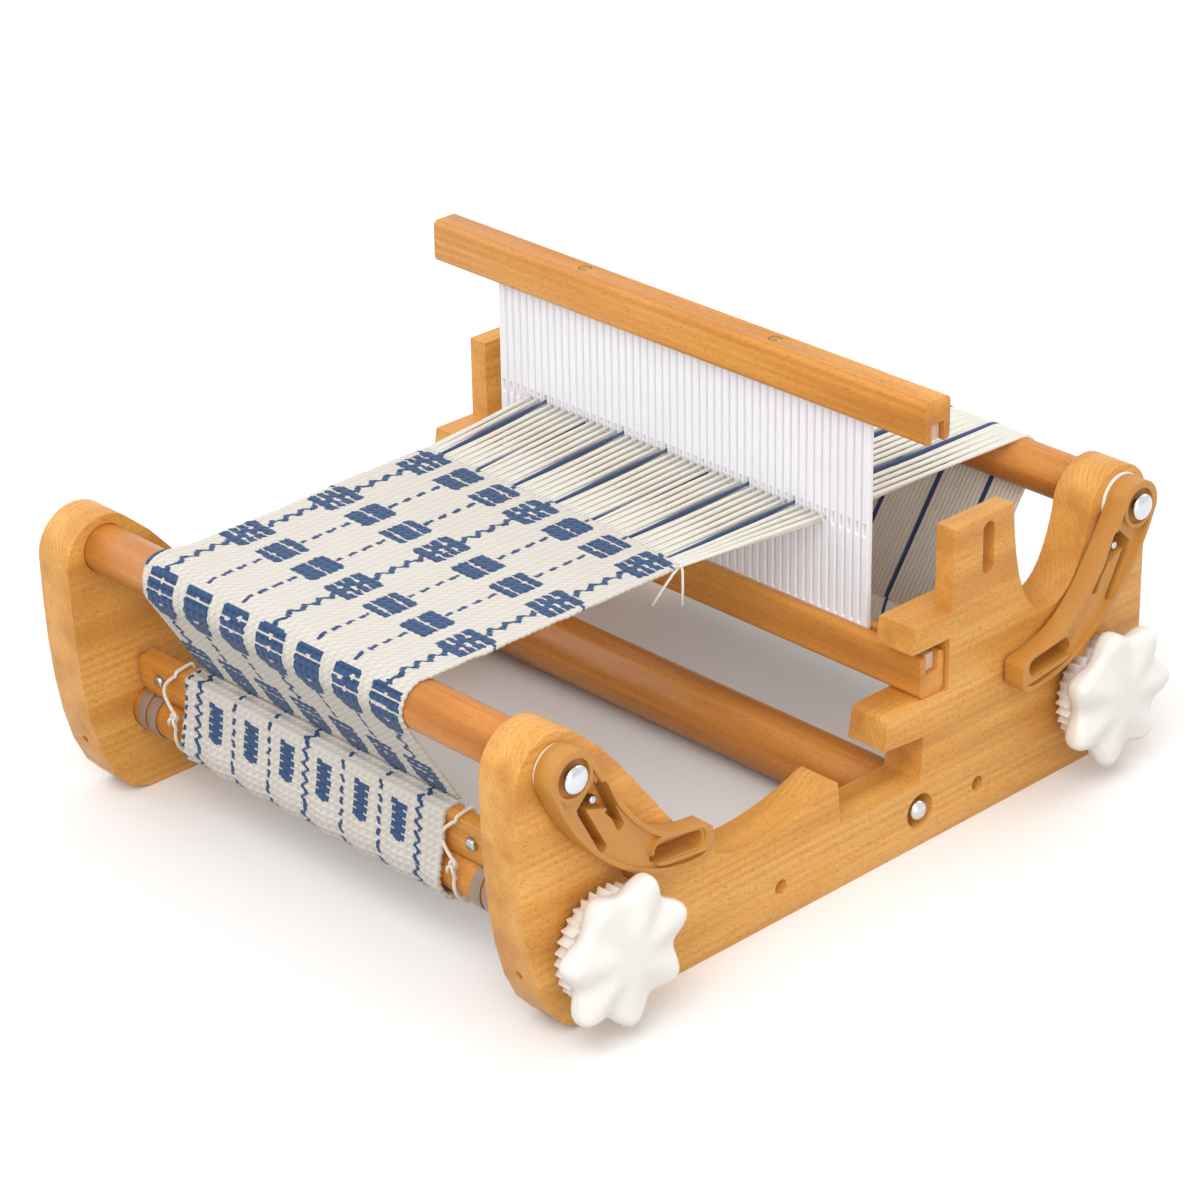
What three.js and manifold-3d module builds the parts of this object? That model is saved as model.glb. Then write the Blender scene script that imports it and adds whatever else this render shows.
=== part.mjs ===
// A small rigid-heddle table loom in beech, warped up and with a patterned cloth begun.
// Millimetres. X runs to the weaver's right, Y away from the weaver, Z up from the table.
// The origin is on the table, in the middle of the loom's outline with its knobs.
import * as THREE from "three";
import { mergeVertices } from "three/addons/utils/BufferGeometryUtils.js";
import Module from "manifold-3d";

const wasm = await Module();
wasm.setup();

// Fit between pieces that touch or turn in each other
const GAP = 0.3;

// Rods that the cloth and the warp run over, and the rollers below them
const ROD_RADIUS = 12;
const ROD_Y = 189.5;
const ROD_Z = 136.5;
const ROLLER_RADIUS = 11;
const ROLLER_Y = 168.5;
const ROLLER_Z = 44;

// Stretcher dowel that ties the side frames low down
const STRETCHER_RADIUS = 16;
const STRETCHER_Y = 49;
const STRETCHER_Z = 19;

// Side frames
const INNER_WIDTH = 287.2;
const BOARD = 23;
const SOCKET_DEPTH = 10;
const ROLLER_SOCKET_DEPTH = 12;
const NOSE_RADIUS = 22;
const NOSE_DROP = 5;
const TOE_INSET = 39;
const TOE_FULLNESS = 4.5;
const NOSE_BACK_ANGLE = 45;
const SCOOP_Y = -78;
const SCOOP_Z = 48;
const CREST_Y = -9;
const CREST_Z = 58.3;

// Lower, middle and upper seats of the reed in the side frames
const NOTCH_FLOOR_Z = 35.3;
const NOTCH_LENGTH = 55.5;
const NOTCH_DRAFT = 2;
const LOWER_PRONG_TIP_Y = 22.5;
const LOWER_PRONG_UNDERSIDE_Z = 60.8;
const LOWER_PRONG_HEIGHT = 16.2;
const SLOT_HEIGHT = 27.5;
const SLOT_BACK_Y = 67.5;
const UPPER_PRONG_LENGTH = 26.5;
const UPPER_PRONG_HEIGHT = 13;
const PRONG_LEAN = 2.2;

// Posts behind the seats
const POST_THICKNESS = 11.2;
const POST_STEP = 1.3;
const POST_WIDTH = 42.2;
const POST_TOP_Z = 160.3;
const POST_SLOT_Y = 93.5;
const POST_SLOT_WIDTH = 8;
const POST_SLOT_LENGTH = 27;
const POST_SLOT_TOP_MARGIN = 3.8;
const DIP_Y = 140.5;
const DIP_Z = 95;

// Holes in the outer faces and in the front edge
const COUNTERBORE_RADIUS = 9;
const COUNTERBORE_DEPTH = 9;
const STAND_HOLE_RADIUS = 3.8;
const STAND_HOLE_DEPTH = 10;
const STAND_HOLE_Z = 17.5;
const STAND_HOLE_FRONT_Y = -47;
const STAND_HOLE_BACK_Y = 90.5;
const PILOT_HOLE_RADIUS = 2;
const PILOT_HOLE_DEPTH = 14;
const PILOT_HOLE_Z = 33;

// Machine screws and bolts
const BOLT_HEAD_RADIUS = 5.5;
const BOLT_HEAD_HEIGHT = 5;
const BOLT_RADIUS = 3;
const BOLT_IN_DOWEL = 26;
const PIVOT_HEAD_RADIUS = 6.5;
const PIVOT_HEAD_HEIGHT = 3.4;
const PIVOT_RADIUS = 2.6;
const CROSS_SLOT_WIDTH = 1.2;
const CROSS_SLOT_DEPTH = 1.4;
const CROSS_SLOT_LENGTH = 7;

// Ratchet wheels and the lobed knobs moulded with them
const TOOTH_COUNT = 32;
const RATCHET_RADIUS = 28;
const TOOTH_DEPTH = 3.4;
const TOOTH_STEEP_SHARE = 0.36;
const RATCHET_STANDOFF = 1.5;
const RATCHET_WIDTH = 12;
const VALLEY_ANGLE = 61;
const KNOB_RADIUS = 37;
const KNOB_LOBES = 7;
const LOBE_DEPTH = 7;
const LOBE_ANGLE = 15;
const KNOB_THICKNESS = 13;
const KNOB_EDGE = 4;
const NECK_RADIUS = 22;
const NECK_LENGTH = 1;
const BACK_KNOB_TEETH_TURNED = 1;

// Pawls, in the front pawl's own axes from its pivot
const WASHER_RADIUS = 10.5;
const WASHER_THICKNESS = 1.8;
const PAWL_THICKNESS = 11.3;
const PAWL_BOSS_RADIUS = 13;
const PAWL_REACH = 84;
const PAWL_TIP_DROP = 72;
const PAWL_TIP_HEIGHT = 16.5;
const PAWL_TIP_ROUND = 7;
const PAWL_BACK_FULLNESS = 40;
const PAWL_SEAT_ANGLE = 4.1;
const PAWL_TOOTH_REACH = 13;
const PAWL_TOOTH_CLEARANCE = 0.45;
const TONGUE_SLOT_WIDTH = 2.4;
const TIP_WINDOW_LENGTH = 31;
const TIP_WINDOW_HEIGHT = 5;
const PEG_RADIUS = 2.2;
const PEG_Y = 14.2;
const PEG_DROP = 17.3;
const PEG_PROUD = 11;
const PEG_SOCKET_DEPTH = 8;

// Sticks that carry the cloth and the warp on their rollers
const STICK_LEFT_CLEARANCE = 2.1;
const STICK_RIGHT_CLEARANCE = 29.1;
const STICK_WIDTH = 21;
const STICK_THICKNESS = 8;
const STICK_CORNER = 4;
const CLOTH_STICK_LEAN = 8;
const WARP_STICK_ANGLE = -150;
const STICK_SCREW_INSET = 16;
const STICK_SCREW_HEAD_RADIUS = 3.5;
const STICK_SCREW_HEAD_HEIGHT = 1.8;
const STICK_SCREW_RADIUS = 1.6;

// Clear bands round the cloth roller
const BAND_WIDTH = 6.2;
const BAND_SPACING = 7.9;
const BAND_THICKNESS = 0.8;
const BAND_LEFT_CLEARANCE = 3.6;
const BAND_RIGHT_CLEARANCE = 42.6;

// Cords that tie the cloth stick down
const TIE_RADIUS = 0.9;
const TIE_KNOT_RADIUS = 2.2;
const TIE_BOW = 9;
const TIE_LEFT_INSET = 32.5;
const TIE_RIGHT_INSET = 23.5;

// Reed: a plastic comb between two wooden rails
const REED_X = -2.8;
const DENT_PITCH = 5.08;
const DENT_COUNT = 50;
const SLOT_WIDTH = 1.9;
const EYE_WIDTH = 1.9;
const EYE_HEIGHT = 7;
const COMB_THICKNESS = 3;
const COMB_MARGIN = 4;
const COMB_IN_GROOVE = 6;
const RAIL_LENGTH = 334.6;
const RAIL_HEIGHT = 22;
const RAIL_DEPTH = 16.5;
const RAIL_ROUND = 3;
const RAIL_PLAY = 1.8;
const REED_HEIGHT = 152.3;
const RAIL_SCREW_SPREAD = 64.7;
const RAIL_SCREW_HEAD_RADIUS = 3.2;
const RAIL_SCREW_HEAD_HEIGHT = 1.6;
const RAIL_SCREW_RADIUS = 1.6;

// Warp threads and the cloth woven from them
const THREAD_COUNT = 82;
const FIRST_DENT = 7;
const THREAD_SIZE = 1.1;
const CLOTH_THICKNESS = 1.2;
const FELL_Y = -27;
const FELL_LEFT_X = -97.5;
const FELL_RIGHT_X = 86.5;
const CLOTH_ROD_LEFT_X = -98.5;
const CLOTH_ROD_RIGHT_X = 86;
const CLOTH_ROLL_LEFT_INSET = 40.5;
const CLOTH_ROLL_RIGHT_INSET = 31.5;
const POST_CUT_MARGIN = 1;
const CLOTH_LAYERS_ON_ROLLER = 2.6;
const CLOTH_LAYERS_ON_STICK = 1.5;
const BACK_ROD_LEFT_X = -101.9;
const BACK_ROD_RIGHT_X = 104.9;
const WARP_ROLL_RADIUS = 23;

// Places worked out from the sizes above
const INNER_X = INNER_WIDTH / 2;
const OUTER_X = INNER_X + BOARD;
const STICK_LEFT_X = -INNER_X + STICK_LEFT_CLEARANCE;
const STICK_RIGHT_X = INNER_X - STICK_RIGHT_CLEARANCE;
const STICK_LENGTH = STICK_RIGHT_X - STICK_LEFT_X;
const BAND_LEFT_X = -INNER_X + BAND_LEFT_CLEARANCE;
const BAND_RIGHT_X = INNER_X - BAND_RIGHT_CLEARANCE;
const TIE_LEFT_X = STICK_LEFT_X + TIE_LEFT_INSET;
const TIE_RIGHT_X = STICK_RIGHT_X - TIE_RIGHT_INSET;
const CLOTH_ROLL_LEFT_X = STICK_LEFT_X + CLOTH_ROLL_LEFT_INSET;
const CLOTH_ROLL_RIGHT_X = STICK_RIGHT_X - CLOTH_ROLL_RIGHT_INSET;
const HALF_DEPTH = ROD_Y + NOSE_RADIUS;
const NOSE_Z = ROD_Z - NOSE_DROP;
const NOTCH_FRONT_Y = CREST_Y + NOTCH_DRAFT;
const NOTCH_BACK_Y = NOTCH_FRONT_Y + NOTCH_LENGTH;
const SLOT_FLOOR_Z = LOWER_PRONG_UNDERSIDE_Z + LOWER_PRONG_HEIGHT;
const UPPER_PRONG_Z = SLOT_FLOOR_Z + SLOT_HEIGHT;
const UPPER_SEAT_Z = UPPER_PRONG_Z + UPPER_PRONG_HEIGHT;
const POST_FRONT_Y = SLOT_BACK_Y + POST_STEP;
const REED_Y = SLOT_BACK_Y - RAIL_PLAY - RAIL_DEPTH / 2;
const REED_FOOT_Z = SLOT_FLOOR_Z + GAP;
const REED_TOP_Z = REED_FOOT_Z + REED_HEIGHT;
const WARP_Z = ROD_Z + ROD_RADIUS + GAP + CLOTH_THICKNESS / 2;
const NECK_START = RATCHET_STANDOFF + RATCHET_WIDTH;
const KNOB_START = NECK_START + NECK_LENGTH;
const KNOB_REACH = KNOB_START + KNOB_THICKNESS;
const TOOTH_ANGLE = 360 / TOOTH_COUNT;

const rad = THREE.MathUtils.degToRad;

const beech = { color: 0xd9964f, roughness: 0.45, metalness: 0 };
const rodBeech = { color: 0xc27a3e, roughness: 0.4, metalness: 0 };
const whitePlastic = { color: 0xf3efe6, roughness: 0.35, metalness: 0 };
const tanPlastic = { color: 0xcf9650, roughness: 0.5, metalness: 0 };
const clearPlastic = { color: 0xeef0f4, roughness: 0.3, metalness: 0 };
const greyBand = { color: 0xb9a594, roughness: 0.4, metalness: 0 };
const steel = { color: 0xc6c9cc, roughness: 0.3, metalness: 1 };
const brass = { color: 0xc9a24a, roughness: 0.35, metalness: 1 };
const cotton = { color: 0xece4d2, roughness: 0.9, metalness: 0 };

// A closed geometry as a solid that can be joined and cut
function solid(geometry) {
  const bare = geometry.clone();
  bare.deleteAttribute("normal");
  bare.deleteAttribute("uv");
  const merged = mergeVertices(bare, 1e-4);
  const corners = [];
  for (let i = 0; i < merged.index.count; i += 3) {
    const [a, b, c] = [0, 1, 2].map((k) => merged.index.getX(i + k));
    if (a !== b && b !== c && c !== a) corners.push(a, b, c);
  }
  const vertProperties = new Float32Array(merged.attributes.position.array);
  const triVerts = new Uint32Array(corners);
  return new wasm.Manifold(new wasm.Mesh({ numProp: 3, vertProperties, triVerts }));
}

function cut(body, ...tools) {
  return tools.reduce((rest, tool) => rest.subtract(tool), body);
}

function join(...bodies) {
  return bodies.reduce((whole, body) => whole.add(body));
}

const loom = new THREE.Group();

// A named mesh of a solid, added to the loom
function piece(name, body, finish) {
  const mesh = body.getMesh();
  const geometry = new THREE.BufferGeometry();
  geometry.setAttribute("position", new THREE.BufferAttribute(mesh.vertProperties, 3));
  geometry.setIndex(new THREE.BufferAttribute(mesh.triVerts, 1));
  geometry.computeVertexNormals();
  const made = new THREE.Mesh(geometry, new THREE.MeshStandardMaterial(finish));
  made.name = name;
  loom.add(made);
  return made;
}

// Shapes are drawn in Y and Z and run along X
const ALONG_X = new THREE.Matrix4().makeBasis(
  new THREE.Vector3(0, 1, 0),
  new THREE.Vector3(0, 0, 1),
  new THREE.Vector3(1, 0, 0),
);

function slab(shape, fromX, toX, curveSegments = 8) {
  const settings = { depth: toX - fromX, bevelEnabled: false, curveSegments };
  const geometry = new THREE.ExtrudeGeometry(shape, settings);
  return solid(geometry.applyMatrix4(ALONG_X).translate(fromX, 0, 0));
}

function rodAlongX(radius, fromX, toX, y, z, sides = 28) {
  const geometry = new THREE.CylinderGeometry(radius, radius, toX - fromX, sides);
  return solid(geometry.rotateZ(-Math.PI / 2).translate((fromX + toX) / 2, y, z));
}

function block(fromX, toX, fromY, toY, fromZ, toZ) {
  const geometry = new THREE.BoxGeometry(toX - fromX, toY - fromY, toZ - fromZ);
  return solid(
    geometry.translate((fromX + toX) / 2, (fromY + toY) / 2, (fromZ + toZ) / 2),
  );
}

// A turned piece whose profile is given as radius and distance along its axis
function turned(profile, sides = 14) {
  const points = profile.map(([radius, along]) => new THREE.Vector2(radius, along));
  return new THREE.LatheGeometry(points, sides);
}

// The outline drawn tight round a list of circles, given counter-clockwise
function wrap(circles) {
  const normals = circles.map((from, i) => {
    const to = circles[(i + 1) % circles.length];
    const distance = Math.hypot(to.y - from.y, to.z - from.z);
    const heading = Math.atan2(to.z - from.z, to.y - from.y);
    return heading - Math.acos((from.radius - to.radius) / distance);
  });
  const shape = new THREE.Shape();
  circles.forEach((circle, i) => {
    const start = normals[(i + circles.length - 1) % circles.length];
    shape.absarc(circle.y, circle.z, circle.radius, start, normals[i], false);
  });
  return shape;
}

// A flat band of cloth or threads that follows a path away from the weaver, outer face up,
// and has its own edges at each step
function ribbon(steps, thickness) {
  const positions = [];
  steps.forEach(({ y, z, normal, left, right }) => {
    const dy = (Math.cos(normal) * thickness) / 2;
    const dz = (Math.sin(normal) * thickness) / 2;
    positions.push(left, y + dy, z + dz, right, y + dy, z + dz);
    positions.push(right, y - dy, z - dz, left, y - dy, z - dz);
  });
  const faces = [];
  const last = (steps.length - 1) * 4;
  for (let i = 0; i < last; i += 4) {
    for (let side = 0; side < 4; side += 1) {
      const next = (side + 1) % 4;
      faces.push(i + side, i + next, i + 4 + next);
      faces.push(i + side, i + 4 + next, i + 4 + side);
    }
  }
  faces.push(0, 2, 1, 0, 3, 2);
  faces.push(last, last + 1, last + 2, last, last + 2, last + 3);
  const geometry = new THREE.BufferGeometry();
  geometry.setAttribute("position", new THREE.Float32BufferAttribute(positions, 3));
  geometry.setIndex(faces);
  return solid(geometry);
}

// Side frames

// The profile of a side frame, front to the left, counter-clockwise from the toe
function frameProfile() {
  const shape = new THREE.Shape();
  const postBackY = POST_FRONT_Y + POST_WIDTH;
  const prongTopY = LOWER_PRONG_TIP_Y + PRONG_LEAN;
  const upperTipY = SLOT_BACK_Y - UPPER_PRONG_LENGTH;
  const noseBack = rad(NOSE_BACK_ANGLE);
  const noseBackY = -ROD_Y + NOSE_RADIUS * Math.cos(noseBack);
  const noseBackZ = NOSE_Z + NOSE_RADIUS * Math.sin(noseBack);
  const toeY = -HALF_DEPTH + TOE_INSET;
  const dipFront = DIP_Y - postBackY;
  const dipBack = ROD_Y - NOSE_RADIUS - DIP_Y;
  const edge = 3;
  shape.moveTo(toeY, 0);
  shape.lineTo(HALF_DEPTH, 0);
  shape.lineTo(HALF_DEPTH, NOSE_Z);
  shape.absarc(ROD_Y, NOSE_Z, NOSE_RADIUS, 0, Math.PI, false);
  shape.bezierCurveTo(
    DIP_Y + dipBack * 0.83,
    DIP_Z + (NOSE_Z - DIP_Z) * 0.47,
    DIP_Y + dipBack * 0.54,
    DIP_Z,
    DIP_Y,
    DIP_Z,
  );
  shape.bezierCurveTo(
    DIP_Y - dipFront * 0.63,
    DIP_Z,
    postBackY + dipFront * 0.08,
    DIP_Z + (POST_TOP_Z - DIP_Z) * 0.35,
    postBackY,
    POST_TOP_Z,
  );
  shape.lineTo(POST_FRONT_Y, POST_TOP_Z);
  shape.lineTo(POST_FRONT_Y, UPPER_SEAT_Z);
  shape.lineTo(upperTipY + PRONG_LEAN, UPPER_SEAT_Z);
  shape.lineTo(upperTipY, UPPER_PRONG_Z);
  shape.lineTo(SLOT_BACK_Y, UPPER_PRONG_Z);
  shape.lineTo(SLOT_BACK_Y, SLOT_FLOOR_Z);
  shape.lineTo(prongTopY + 2 * edge, SLOT_FLOOR_Z);
  shape.quadraticCurveTo(prongTopY, SLOT_FLOOR_Z, prongTopY, SLOT_FLOOR_Z - edge);
  shape.lineTo(LOWER_PRONG_TIP_Y, LOWER_PRONG_UNDERSIDE_Z);
  shape.lineTo(NOTCH_BACK_Y + NOTCH_DRAFT, CREST_Z);
  shape.lineTo(NOTCH_BACK_Y, NOTCH_FLOOR_Z);
  shape.lineTo(NOTCH_FRONT_Y, NOTCH_FLOOR_Z);
  shape.lineTo(CREST_Y, CREST_Z - 1);
  shape.lineTo(CREST_Y - edge, CREST_Z - 1);
  shape.quadraticCurveTo((SCOOP_Y + CREST_Y) / 2, SCOOP_Z - edge, SCOOP_Y, SCOOP_Z);
  shape.bezierCurveTo(
    SCOOP_Y - 26,
    SCOOP_Z + 2,
    noseBackY + 30,
    noseBackZ - 21,
    noseBackY,
    noseBackZ,
  );
  shape.absarc(-ROD_Y, NOSE_Z, NOSE_RADIUS, noseBack, Math.PI, false);
  shape.bezierCurveTo(
    -HALF_DEPTH,
    NOSE_Z * 0.57,
    -HALF_DEPTH + TOE_FULLNESS,
    TOE_FULLNESS,
    toeY,
    0,
  );
  return shape;
}

function postSlot() {
  const radius = POST_SLOT_WIDTH / 2;
  const topZ = POST_TOP_Z - POST_SLOT_TOP_MARGIN - radius;
  const bottomZ = topZ - POST_SLOT_LENGTH + POST_SLOT_WIDTH;
  return wrap([
    { y: POST_SLOT_Y, z: bottomZ, radius },
    { y: POST_SLOT_Y, z: topZ, radius },
  ]);
}

// The board of one side with what both sides share; its outer face is at +X
function sideBoard() {
  const board = slab(frameProfile(), INNER_X, OUTER_X);
  const far = OUTER_X + 1;
  const socketX = INNER_X + SOCKET_DEPTH;
  const rodHole = ROD_RADIUS + GAP;
  const boltHole = BOLT_RADIUS + GAP;
  const postFaceX = OUTER_X - POST_THICKNESS;
  const postCutZ = POST_TOP_Z + POST_CUT_MARGIN;
  const standX = OUTER_X - STAND_HOLE_DEPTH;
  const pilot = new THREE.CylinderGeometry(
    PILOT_HOLE_RADIUS,
    PILOT_HOLE_RADIUS,
    2 * PILOT_HOLE_DEPTH,
    12,
  ).translate((INNER_X + OUTER_X) / 2, -HALF_DEPTH + TOE_INSET / 4, PILOT_HOLE_Z);
  return cut(
    board,
    block(INNER_X - 1, postFaceX, POST_FRONT_Y - 1, DIP_Y, UPPER_SEAT_Z, postCutZ),
    slab(postSlot(), INNER_X - 1, far, 6),
    rodAlongX(rodHole, INNER_X - 1, socketX, -ROD_Y, ROD_Z),
    rodAlongX(rodHole, INNER_X - 1, socketX, ROD_Y, ROD_Z),
    rodAlongX(STRETCHER_RADIUS + GAP, INNER_X - 1, socketX, STRETCHER_Y, STRETCHER_Z, 40),
    rodAlongX(boltHole, INNER_X, far, STRETCHER_Y, STRETCHER_Z, 12),
    rodAlongX(COUNTERBORE_RADIUS, OUTER_X - COUNTERBORE_DEPTH, far, STRETCHER_Y, STRETCHER_Z),
    rodAlongX(STAND_HOLE_RADIUS, standX, far, STAND_HOLE_FRONT_Y, STAND_HOLE_Z, 16),
    rodAlongX(STAND_HOLE_RADIUS, standX, far, STAND_HOLE_BACK_Y, STAND_HOLE_Z, 16),
    solid(pilot),
  );
}

function rightFrame() {
  const holes = [-1, 1].flatMap((side) => [
    rodAlongX(ROLLER_RADIUS + GAP, INNER_X - 1, OUTER_X + 1, side * ROLLER_Y, ROLLER_Z),
    rodAlongX(PIVOT_RADIUS + GAP, INNER_X, OUTER_X + 1, side * ROD_Y, ROD_Z, 12),
    rodAlongX(
      PEG_RADIUS + GAP,
      OUTER_X - PEG_SOCKET_DEPTH,
      OUTER_X + 1,
      side * (ROD_Y - PEG_Y),
      ROD_Z - PEG_DROP,
      12,
    ),
  ]);
  return cut(sideBoard(), ...holes);
}

// The left board is made like the right one and turned over by its mesh
function leftFrame() {
  const socketX = INNER_X + ROLLER_SOCKET_DEPTH;
  const boreX = OUTER_X - COUNTERBORE_DEPTH;
  const holes = [-1, 1].flatMap((side) => [
    rodAlongX(ROLLER_RADIUS + GAP, INNER_X - 1, socketX, side * ROLLER_Y, ROLLER_Z),
    rodAlongX(BOLT_RADIUS + GAP, INNER_X, OUTER_X + 1, side * ROD_Y, ROD_Z, 12),
    rodAlongX(COUNTERBORE_RADIUS, boreX, OUTER_X + 1, side * ROD_Y, ROD_Z),
  ]);
  return cut(sideBoard(), ...holes);
}

piece("side_frame_right", rightFrame(), beech);
piece("side_frame_left", leftFrame(), beech).scale.x = -1;

// Dowels between the side frames, drilled at their ends for the bolts

function dowel(radius, y, z, leftHole, rightHole, sides) {
  const end = INNER_X + SOCKET_DEPTH - GAP;
  const drilled = end - BOLT_IN_DOWEL - 1;
  return cut(
    rodAlongX(radius, -end, end, y, z, sides),
    rodAlongX(leftHole + GAP, -end - 1, -drilled, y, z, 12),
    rodAlongX(rightHole + GAP, drilled, end + 1, y, z, 12),
  );
}

piece("front_rod", dowel(ROD_RADIUS, -ROD_Y, ROD_Z, BOLT_RADIUS, PIVOT_RADIUS, 28), rodBeech);
piece("back_rod", dowel(ROD_RADIUS, ROD_Y, ROD_Z, BOLT_RADIUS, PIVOT_RADIUS, 28), rodBeech);
piece(
  "stretcher",
  dowel(STRETCHER_RADIUS, STRETCHER_Y, STRETCHER_Z, BOLT_RADIUS, BOLT_RADIUS, 40),
  rodBeech,
);

// Screws that end in the dowels; a head seats at headX and the shank runs inwards

function crossSlots(topX) {
  const half = CROSS_SLOT_WIDTH / 2;
  const reach = CROSS_SLOT_LENGTH / 2;
  const fromX = topX - CROSS_SLOT_DEPTH;
  return [
    block(fromX, topX + 1, -half, half, -reach, reach),
    block(fromX, topX + 1, -reach, reach, -half, half),
  ];
}

function dowelScrew(headX, headRadius, headHeight, radius) {
  const tipX = INNER_X + SOCKET_DEPTH - GAP - BOLT_IN_DOWEL;
  const crown = headHeight * 0.3;
  const profile = [
    [0, tipX],
    [radius, tipX],
    [radius, headX],
    [headRadius, headX],
    [headRadius, headX + headHeight - crown],
    [headRadius * 0.8, headX + headHeight],
    [0, headX + headHeight],
  ];
  const body = solid(turned(profile).rotateZ(-Math.PI / 2));
  return cut(body, ...crossSlots(headX + headHeight));
}

function bolt(name, side, y, z) {
  const headX = OUTER_X - COUNTERBORE_DEPTH + GAP;
  const body = dowelScrew(headX, BOLT_HEAD_RADIUS, BOLT_HEAD_HEIGHT, BOLT_RADIUS);
  const made = piece(name, body, steel);
  made.scale.x = side;
  made.position.set(0, y, z);
}

bolt("stretcher_bolt_left", -1, STRETCHER_Y, STRETCHER_Z);
bolt("stretcher_bolt_right", 1, STRETCHER_Y, STRETCHER_Z);
bolt("front_rod_bolt_left", -1, -ROD_Y, ROD_Z);
bolt("back_rod_bolt_left", -1, ROD_Y, ROD_Z);

// Rollers, each turning in a socket on the left and through the board on the right

function roller(side) {
  const leftEnd = -(INNER_X + ROLLER_SOCKET_DEPTH - 2 * GAP);
  const rightEnd = OUTER_X + NECK_START - GAP;
  return rodAlongX(ROLLER_RADIUS, leftEnd, rightEnd, side * ROLLER_Y, ROLLER_Z);
}

piece("cloth_roller", roller(-1), beech);
piece("warp_roller", roller(1), beech);

// Knobs, drawn about the front roller's axis with the board's outer face at X = 0

// Saw teeth that rise gently with the angle and drop steeply
function ratchetProfile() {
  const root = RATCHET_RADIUS - TOOTH_DEPTH;
  const rise = TOOTH_ANGLE * (1 - TOOTH_STEEP_SHARE);
  const shape = new THREE.Shape();
  for (let tooth = 0; tooth < TOOTH_COUNT; tooth += 1) {
    const valley = rad(VALLEY_ANGLE + tooth * TOOTH_ANGLE);
    const tip = valley + rad(rise);
    if (tooth === 0) shape.moveTo(root * Math.cos(valley), root * Math.sin(valley));
    else shape.lineTo(root * Math.cos(valley), root * Math.sin(valley));
    shape.lineTo(RATCHET_RADIUS * Math.cos(tip), RATCHET_RADIUS * Math.sin(tip));
  }
  return shape;
}

function lobedProfile() {
  const points = [];
  const steps = KNOB_LOBES * 8;
  for (let step = 0; step < steps; step += 1) {
    const angle = (2 * Math.PI * step) / steps;
    const dip = (1 - Math.cos(KNOB_LOBES * (angle - rad(LOBE_ANGLE)))) / 2;
    const radius = KNOB_RADIUS - LOBE_DEPTH * dip;
    points.push(new THREE.Vector2(radius * Math.cos(angle), radius * Math.sin(angle)));
  }
  return new THREE.Shape(points);
}

function lobedDisc() {
  const geometry = new THREE.ExtrudeGeometry(lobedProfile(), {
    depth: KNOB_THICKNESS - 2 * KNOB_EDGE,
    bevelThickness: KNOB_EDGE,
    bevelSize: KNOB_EDGE,
    bevelOffset: -KNOB_EDGE,
    bevelSegments: 2,
  });
  return solid(geometry.applyMatrix4(ALONG_X).translate(KNOB_START + KNOB_EDGE, 0, 0));
}

function knob() {
  const whole = join(
    slab(ratchetProfile(), RATCHET_STANDOFF, NECK_START),
    rodAlongX(NECK_RADIUS, NECK_START - 1, KNOB_START + 1, 0, 0),
    lobedDisc(),
  );
  return cut(whole, rodAlongX(ROLLER_RADIUS + GAP, 0, NECK_START, 0, 0));
}

piece("cloth_knob", knob(), whitePlastic).position.set(OUTER_X, -ROLLER_Y, ROLLER_Z);
const warpKnob = piece("warp_knob", knob(), whitePlastic);
warpKnob.scale.y = -1;
warpKnob.rotation.x = -rad(BACK_KNOB_TEETH_TURNED * TOOTH_ANGLE);
warpKnob.position.set(OUTER_X, ROLLER_Y, ROLLER_Z);

// Pawls, drawn about the front pivot with the board's outer face at X = 0

const PAWL_START = WASHER_THICKNESS + 2 * GAP;
const PAWL_END = PAWL_START + PAWL_THICKNESS;

function pawlProfile() {
  const topZ = -PAWL_TIP_DROP + PAWL_TIP_HEIGHT;
  const shape = new THREE.Shape();
  shape.absarc(0, 0, PAWL_BOSS_RADIUS, rad(14), rad(197), false);
  shape.bezierCurveTo(
    2,
    -PAWL_BACK_FULLNESS,
    PAWL_REACH * 0.38,
    -PAWL_TIP_DROP + 4,
    PAWL_REACH - 14,
    -PAWL_TIP_DROP,
  );
  shape.lineTo(PAWL_REACH - PAWL_TIP_ROUND, -PAWL_TIP_DROP);
  shape.quadraticCurveTo(
    PAWL_REACH,
    -PAWL_TIP_DROP,
    PAWL_REACH,
    -PAWL_TIP_DROP + PAWL_TIP_ROUND,
  );
  shape.lineTo(PAWL_REACH, topZ - 2);
  shape.lineTo(PAWL_REACH - 2, topZ);
  shape.bezierCurveTo(
    PAWL_REACH * 0.62,
    topZ + 2.5,
    PAWL_REACH * 0.45,
    topZ + 13.5,
    PAWL_BOSS_RADIUS * Math.cos(rad(14)),
    PAWL_BOSS_RADIUS * Math.sin(rad(14)),
  );
  return shape;
}

// The valley of the ratchet that the pawl drops into, seen from the pawl's pivot
function valleyPoint(extraRadius, extraAngle) {
  const angle = rad(VALLEY_ANGLE + extraAngle);
  const radius = RATCHET_RADIUS - TOOTH_DEPTH + extraRadius;
  return new THREE.Vector2(
    ROD_Y - ROLLER_Y + radius * Math.cos(angle),
    ROLLER_Z - ROD_Z + radius * Math.sin(angle),
  );
}

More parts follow.
